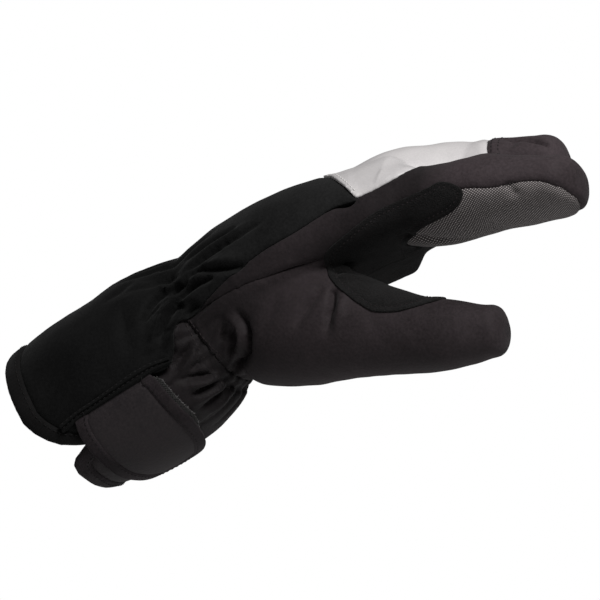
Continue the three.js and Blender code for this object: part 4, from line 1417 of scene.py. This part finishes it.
def sew(name, runs, lift, thread, length=STITCH, gap=STITCH_GAP, size=THREAD):
    """Rows of stitches along runs of points, each a short swelling of thread with its ends pulled in."""
    along, wide, high = np.array(STITCH_SHAPE).T
    middles = []
    ups = []
    for line, normals in runs:
        steps = np.linalg.norm(np.diff(line, axis=0), axis=1)
        far = np.concatenate([[0], np.cumsum(steps)])
        count = int(far[-1] // (length + gap))
        if count < 3:
            continue
        stops = (np.arange(count)[:, None] + 0.15) * (length + gap) + length * along[None]
        middles.append(np.stack([np.interp(stops, far, line[:, axis]) for axis in range(3)], axis=2))
        ups.append(unit(np.stack([np.interp(stops, far, normals[:, axis]) for axis in range(3)], axis=2)))
    middle = np.vstack(middles)
    up = np.vstack(ups)
    middle = middle + up * (lift + size * high)[None, :, None]
    return strands(name, middle, up, size * wide, thread)


def strands(name, middle, up, widths, thread):
    """Short closed threads: for each one its middle points, what is up there, and its half widths."""
    side = unit(np.cross(unit(middle[:, -1:] - middle[:, :1]), up))
    turn = np.arange(STITCH_SIDES) * 2 * math.pi / STITCH_SIDES
    ring = side[:, :, None] * np.cos(turn)[:, None] + up[:, :, None] * np.sin(turn)[:, None]
    points = (middle[:, :, None] + widths[None, :, None, None] * ring).reshape(-1, 3)
    faces = []
    rings = len(widths)
    for strand in range(len(middle)):
        faces += tube_faces(strand * rings * STITCH_SIDES, rings, STITCH_SIDES)
    return mesh_piece(name, points, faces, [thread])


def near_part(cloth, chosen):
    """The triangles of a cloth whose corners are all chosen."""
    return cloth.part(chosen[cloth.triangles].all(axis=1))


# How far inside a panel's edge its stitches run
PALE_SEAM = 2.0
HEM_SEAM = 1.3
END_SEAMS = (1.8, 5.0)
# Stitches beside the pale panel's ends. Columns: panel, tube, place of that end, least sine of the angle
END_LINES = [("index_side_panel", "index", 0.555, 0.78), ("ring_little_back", "little", 0.605, 0.3)]
# Stitches of the hems. Columns: name, panel, width
HEM_LINES = [("cuff_hem", "cuff_hem", HEM_WIDTH), ("palm_hem", "cuff_palm_hem", PALM_HEM_WIDTH)]


def sew_panels():
    seen = near_part(patch, patch.points[:, 1] < -2)
    runs = contours(seen, "crotch_patch", PATCH_SEAM)
    sew("patch_stitches", runs, 0.5, PATCH_THREAD, 1.3, 1.3, 0.25)
    pale = panels["reflective_panel"]
    rear = near_part(pale, pale.value("hand_at") < PALE_REAR - 0.01)
    sew("pale_edge_stitches", contours(rear, "reflective_panel", PALE_SEAM), 0.5, GREY_THREAD)
    for name, label, end, least in END_LINES:
        cloth = panels[name]
        back = near_part(cloth, cloth.value(label + "_sin") > least)
        runs = []
        for away in END_SEAMS:
            runs += contours(back, label + "_at", end + away / TUBES[label].ahead)
        sew(label + "_end_stitches", runs, 0.0, BLACK_THREAD)
    for label, name, width in HEM_LINES:
        runs = contours(panels[name], "mouth", width - HEM_SEAM)
        sew(label + "_stitches", runs, HEM_RISE - 0.1, BLACK_THREAD)
    runs = contours(panels["cuff_palm_panel"], "hand_at", WRIST_SEAM - 1.3 / HAND.behind)
    runs += contours(panels["thumb"], "hand_at", WRIST_SEAM + 1.1 / HAND.behind)
    sew("elastic_stitches", runs, -0.35, ELASTIC_THREAD, 2.2, 0.5, 0.3)


sew_panels()


def cuff_sheet(table, rows, columns, low):
    """A sheet that lies on the cuff, as a grid between the table's angles."""
    places, start, end = np.array(table, float).T
    at = np.linspace(places[0], places[-1], rows)
    begin = smooth_between(places, start, at)
    finish = smooth_between(places, end, at)
    share = np.linspace(0, 1, columns)
    angle = begin[:, None] + (finish - begin)[:, None] * share[None]
    at = np.repeat(at, columns)
    angle = angle.ravel()
    points = HAND.point(at, angle, low)
    outer = HAND.point(at, angle, low + 1.0)
    triangles = []
    for row in range(rows - 1):
        for step in range(columns - 1):
            a = row * columns + step
            b = a + 1
            triangles += [[a, b, b + columns], [a, b + columns, a + columns]]
    triangles = np.array(triangles)
    normals = unit(outer - points)
    values = {"normal_x": normals[:, 0], "normal_y": normals[:, 1], "normal_z": normals[:, 2]}
    turn = np.radians(angle)
    values.update({"hand_at": at, "hand_cos": np.cos(turn), "hand_sin": np.sin(turn)})
    values["angle"] = angle
    cloth = Cloth(points, triangles, values)
    a, b, c = (points[triangles[0, k]] for k in range(3))
    if np.cross(b - a, c - a) @ normals[0] < 0:
        cloth.triangles = triangles[:, ::-1]
    return cloth


FACING_LOW = 0.35
HOOK_LOW = 0.3
TAB_LOW = 0.3 + HOOK_THICKNESS
TAB_DROP = 2.0
# The tab runs in under the slit's edge from this angle on, fully so after this many degrees more
TAB_UNDER = 344
TAB_UNDER_TURN = 7
# The tab's far edge has binding only at its rounded ends, before and past these places
TAB_ENDS = (-0.715, -0.31)
# Points along and across each sheet on the cuff
FACING_GRID = (90, 17)
HOOK_GRID = (50, 50)
TAB_GRID = (70, 110)
TAB_EDGE_STEPS = 200


def under_slit(cloth):
    """How much lower the tab lies where it runs in under the slit's edge."""
    return TAB_DROP * np.clip((cloth.value("angle") - TAB_UNDER) / TAB_UNDER_TURN, 0, 1) ** 1.5


FUZZ_COUNT = 300
FUZZ_LENGTH = (0.3, 1.0)
FUZZ_WIDTH = 0.075
FUZZ_FROM = -0.36
FUZZ_COS = 0.3
FUZZ_SHAPE = np.array([1.0, 1.0, 0.9, 0.8, 0.4])


def make_fuzz(cloth, low):
    """Loose hooks and threads that stand out along the upper edge of the hook tape."""
    draw = np.random.default_rng(11)
    edge = np.unique(cloth.border())
    edge = edge[(cloth.value("hand_at")[edge] > FUZZ_FROM) & (cloth.value("hand_cos")[edge] > FUZZ_COS)]
    chosen = draw.choice(edge, FUZZ_COUNT)
    start = cloth.points[chosen]
    up = normals_of(cloth)[chosen]
    middle = cloth.points.mean(axis=0)
    out = unit(start - middle)
    out = unit(out + draw.normal(0, 0.55, out.shape) + up * draw.uniform(0.0, 0.9, len(out))[:, None])
    bend = draw.normal(0, 0.35, out.shape)
    length = draw.uniform(*FUZZ_LENGTH, len(out))[:, None, None]
    share = np.linspace(0, 1, len(FUZZ_SHAPE))[None, :, None]
    run = start[:, None] + up[:, None] * low * draw.uniform(0.1, 1, len(out))[:, None, None]
    run = run + (out[:, None] * share + bend[:, None] * share**2) * length
    ups = np.repeat(up[:, None], len(FUZZ_SHAPE), axis=1)
    strands("hook_fuzz", run, ups, FUZZ_WIDTH * FUZZ_SHAPE, PALE_FUZZ)


def make_cuff_trim():
    facing = cuff_sheet(SLIT_FACING, *FACING_GRID, FACING_LOW + SLIT_RISE)
    across = np.tile(np.linspace(0, 1, FACING_GRID[1]), FACING_GRID[0])
    facing.add("across", across)
    ridges = FACING_THICKNESS * (0.2 + 1.2 * np.sin(2 * math.pi * across) ** 2)
    sheet_piece("slit_facing", facing, ridges, FACING_THICKNESS, BACK_CLOTH)
    runs = contours(facing, "across", 0.97) + contours(facing, "across", 0.5)
    sew("slit_stitches", runs, 0.35 * FACING_THICKNESS, BLACK_THREAD)
    hook = cuff_sheet(HOOK_PAD, *HOOK_GRID, HOOK_LOW)
    even = np.full(len(hook.points), HOOK_THICKNESS)
    sheet_piece("hook_pad", hook, even, HOOK_THICKNESS, FINISHES["hook"])
    make_fuzz(hook, HOOK_THICKNESS)
    tab = cuff_sheet(CLOSURE_TAB, *TAB_GRID, TAB_LOW)
    places, start, end = np.array(CLOSURE_TAB, float).T
    at = np.linspace(places[0], places[-1], TAB_EDGE_STEPS)
    edge = HAND.point(at, smooth_between(places, start, at), TAB_LOW)
    top = HAND.point(np.full(12, places[-1]), np.linspace(start[-1], end[-1], 12), TAB_LOW)
    bottom = HAND.point(np.full(8, places[0]), np.linspace(start[0], end[0], 8), TAB_LOW)
    curved = (at < TAB_ENDS[0]) | (at > TAB_ENDS[1])
    ends = HAND.point(at[curved], smooth_between(places, end, at)[curved], TAB_LOW)
    gap = nearest_gap(tab.points, np.vstack([edge, top, bottom, ends]))
    tab.add("binding", TAB_BINDING_WIDTH - gap)
    binding = tab.take("binding")
    field = tab.without_bits()
    inside = -field.value("binding")
    lift = TAB_THICKNESS - 0.4 * np.exp(-inside / 0.8) - under_slit(field)
    sheet_piece("closure_tab", field, lift, TAB_THICKNESS, TAB_CLOTH, bulge=0.0)
    width = binding.value("binding")
    rise = TAB_THICKNESS + TAB_BINDING_RISE * (1 - np.exp(-width / 0.7)) - under_slit(binding)
    sheet_piece("tab_binding", binding, rise, TAB_THICKNESS + SEATED, TAB_TAPE, bulge=0.6)
    runs = contours(binding, "binding", 1.1)
    sew("tab_stitches", runs, TAB_THICKNESS + TAB_BINDING_RISE - 0.1, BLACK_THREAD)


make_cuff_trim()

# Room, light and camera
FLOOR_LEVEL = -320.0
FLOOR_MIDDLE = 40.0
FLOOR_RADIUS = 520.0
CAMERA_DISTANCE = 2500.0
CAMERA_AIM = (43.0, 11.0)
ROOM_LIGHT = 0.24
KEY_POWER = 25.0
LENS = 300.0
SENSOR = 36.0


def make_floor():
    """A pale round table top well under the glove, which the wrist holds up."""
    material = new_material("pale floor")
    tree = material.node_tree
    colour = two_tone(tree, cloud_mask(tree, FLOOR_CLOUDS), (0.80, 0.80, 0.80), (0.84, 0.84, 0.84))
    shader = node(tree, "ShaderNodeBsdfPrincipled", {"Base Color": colour, "Roughness": 0.9})
    side = node(tree, "ShaderNodeNewGeometry")
    clear = node(tree, "ShaderNodeBsdfTransparent")
    mixed = node(
        tree, "ShaderNodeMixShader",
        {0: side.outputs["Backfacing"], 1: shader.outputs[0], 2: clear.outputs[0]},
    )
    output = node(tree, "ShaderNodeOutputMaterial")
    tree.links.new(mixed.outputs[0], output.inputs["Surface"])
    form = bmesh.new()
    bmesh.ops.create_circle(form, cap_ends=True, segments=96, radius=FLOOR_RADIUS * MM)
    mesh = bpy.data.meshes.new("floor")
    form.to_mesh(mesh)
    form.free()
    mesh.materials.append(material)
    floor = add_object("floor", mesh)
    floor.location = (FLOOR_MIDDLE * MM, 0, FLOOR_LEVEL * MM)


def aimed(thing, place, ahead):
    """Puts a light or a camera at a place and turns it to look ahead."""
    thing.location = place
    thing.rotation_mode = "QUATERNION"
    thing.rotation_quaternion = ahead.to_track_quat("-Z", "Y")
    return thing


def make_light(name, place, aim, size, power):
    data = bpy.data.lights.new(name, "AREA")
    data.shape = "DISK"
    data.size = size
    data.energy = power
    aimed(add_object(name, data), place, Vector(aim) - Vector(place))


def make_room():
    world = bpy.data.worlds.new("white studio")
    world.use_nodes = True
    tree = world.node_tree
    back = tree.nodes["Background"]
    back.inputs["Color"].default_value = (1, 1, 1, 1)
    path = node(tree, "ShaderNodeLightPath")
    strength = node(tree, "ShaderNodeMapRange", {0: path.outputs["Is Camera Ray"], 3: ROOM_LIGHT, 4: 1.0})
    tree.links.new(strength.outputs[0], back.inputs["Strength"])
    bpy.context.scene.world = world
    make_floor()
    make_light("key", (0.75, -0.75, 1.0), (0.10, 0, 0.03), 0.5, KEY_POWER)
    bpy.context.scene.view_settings.view_transform = "Standard"


def make_camera():
    """Level with the glove, turned a little towards its fingertips."""
    right = np.array([math.cos(CAMERA_TURN), math.sin(CAMERA_TURN), 0])
    ahead = np.array([-math.sin(CAMERA_TURN), math.cos(CAMERA_TURN), 0])
    across, up = CAMERA_AIM
    place = right * across + np.array([0, 0, up]) - ahead * CAMERA_DISTANCE
    data = bpy.data.cameras.new("camera")
    data.lens = LENS
    data.sensor_width = SENSOR
    data.clip_end = 20
    bpy.context.scene.camera = aimed(add_object("camera", data), place * MM, Vector(ahead))


make_room()
make_camera()

bpy.context.view_layer.update()
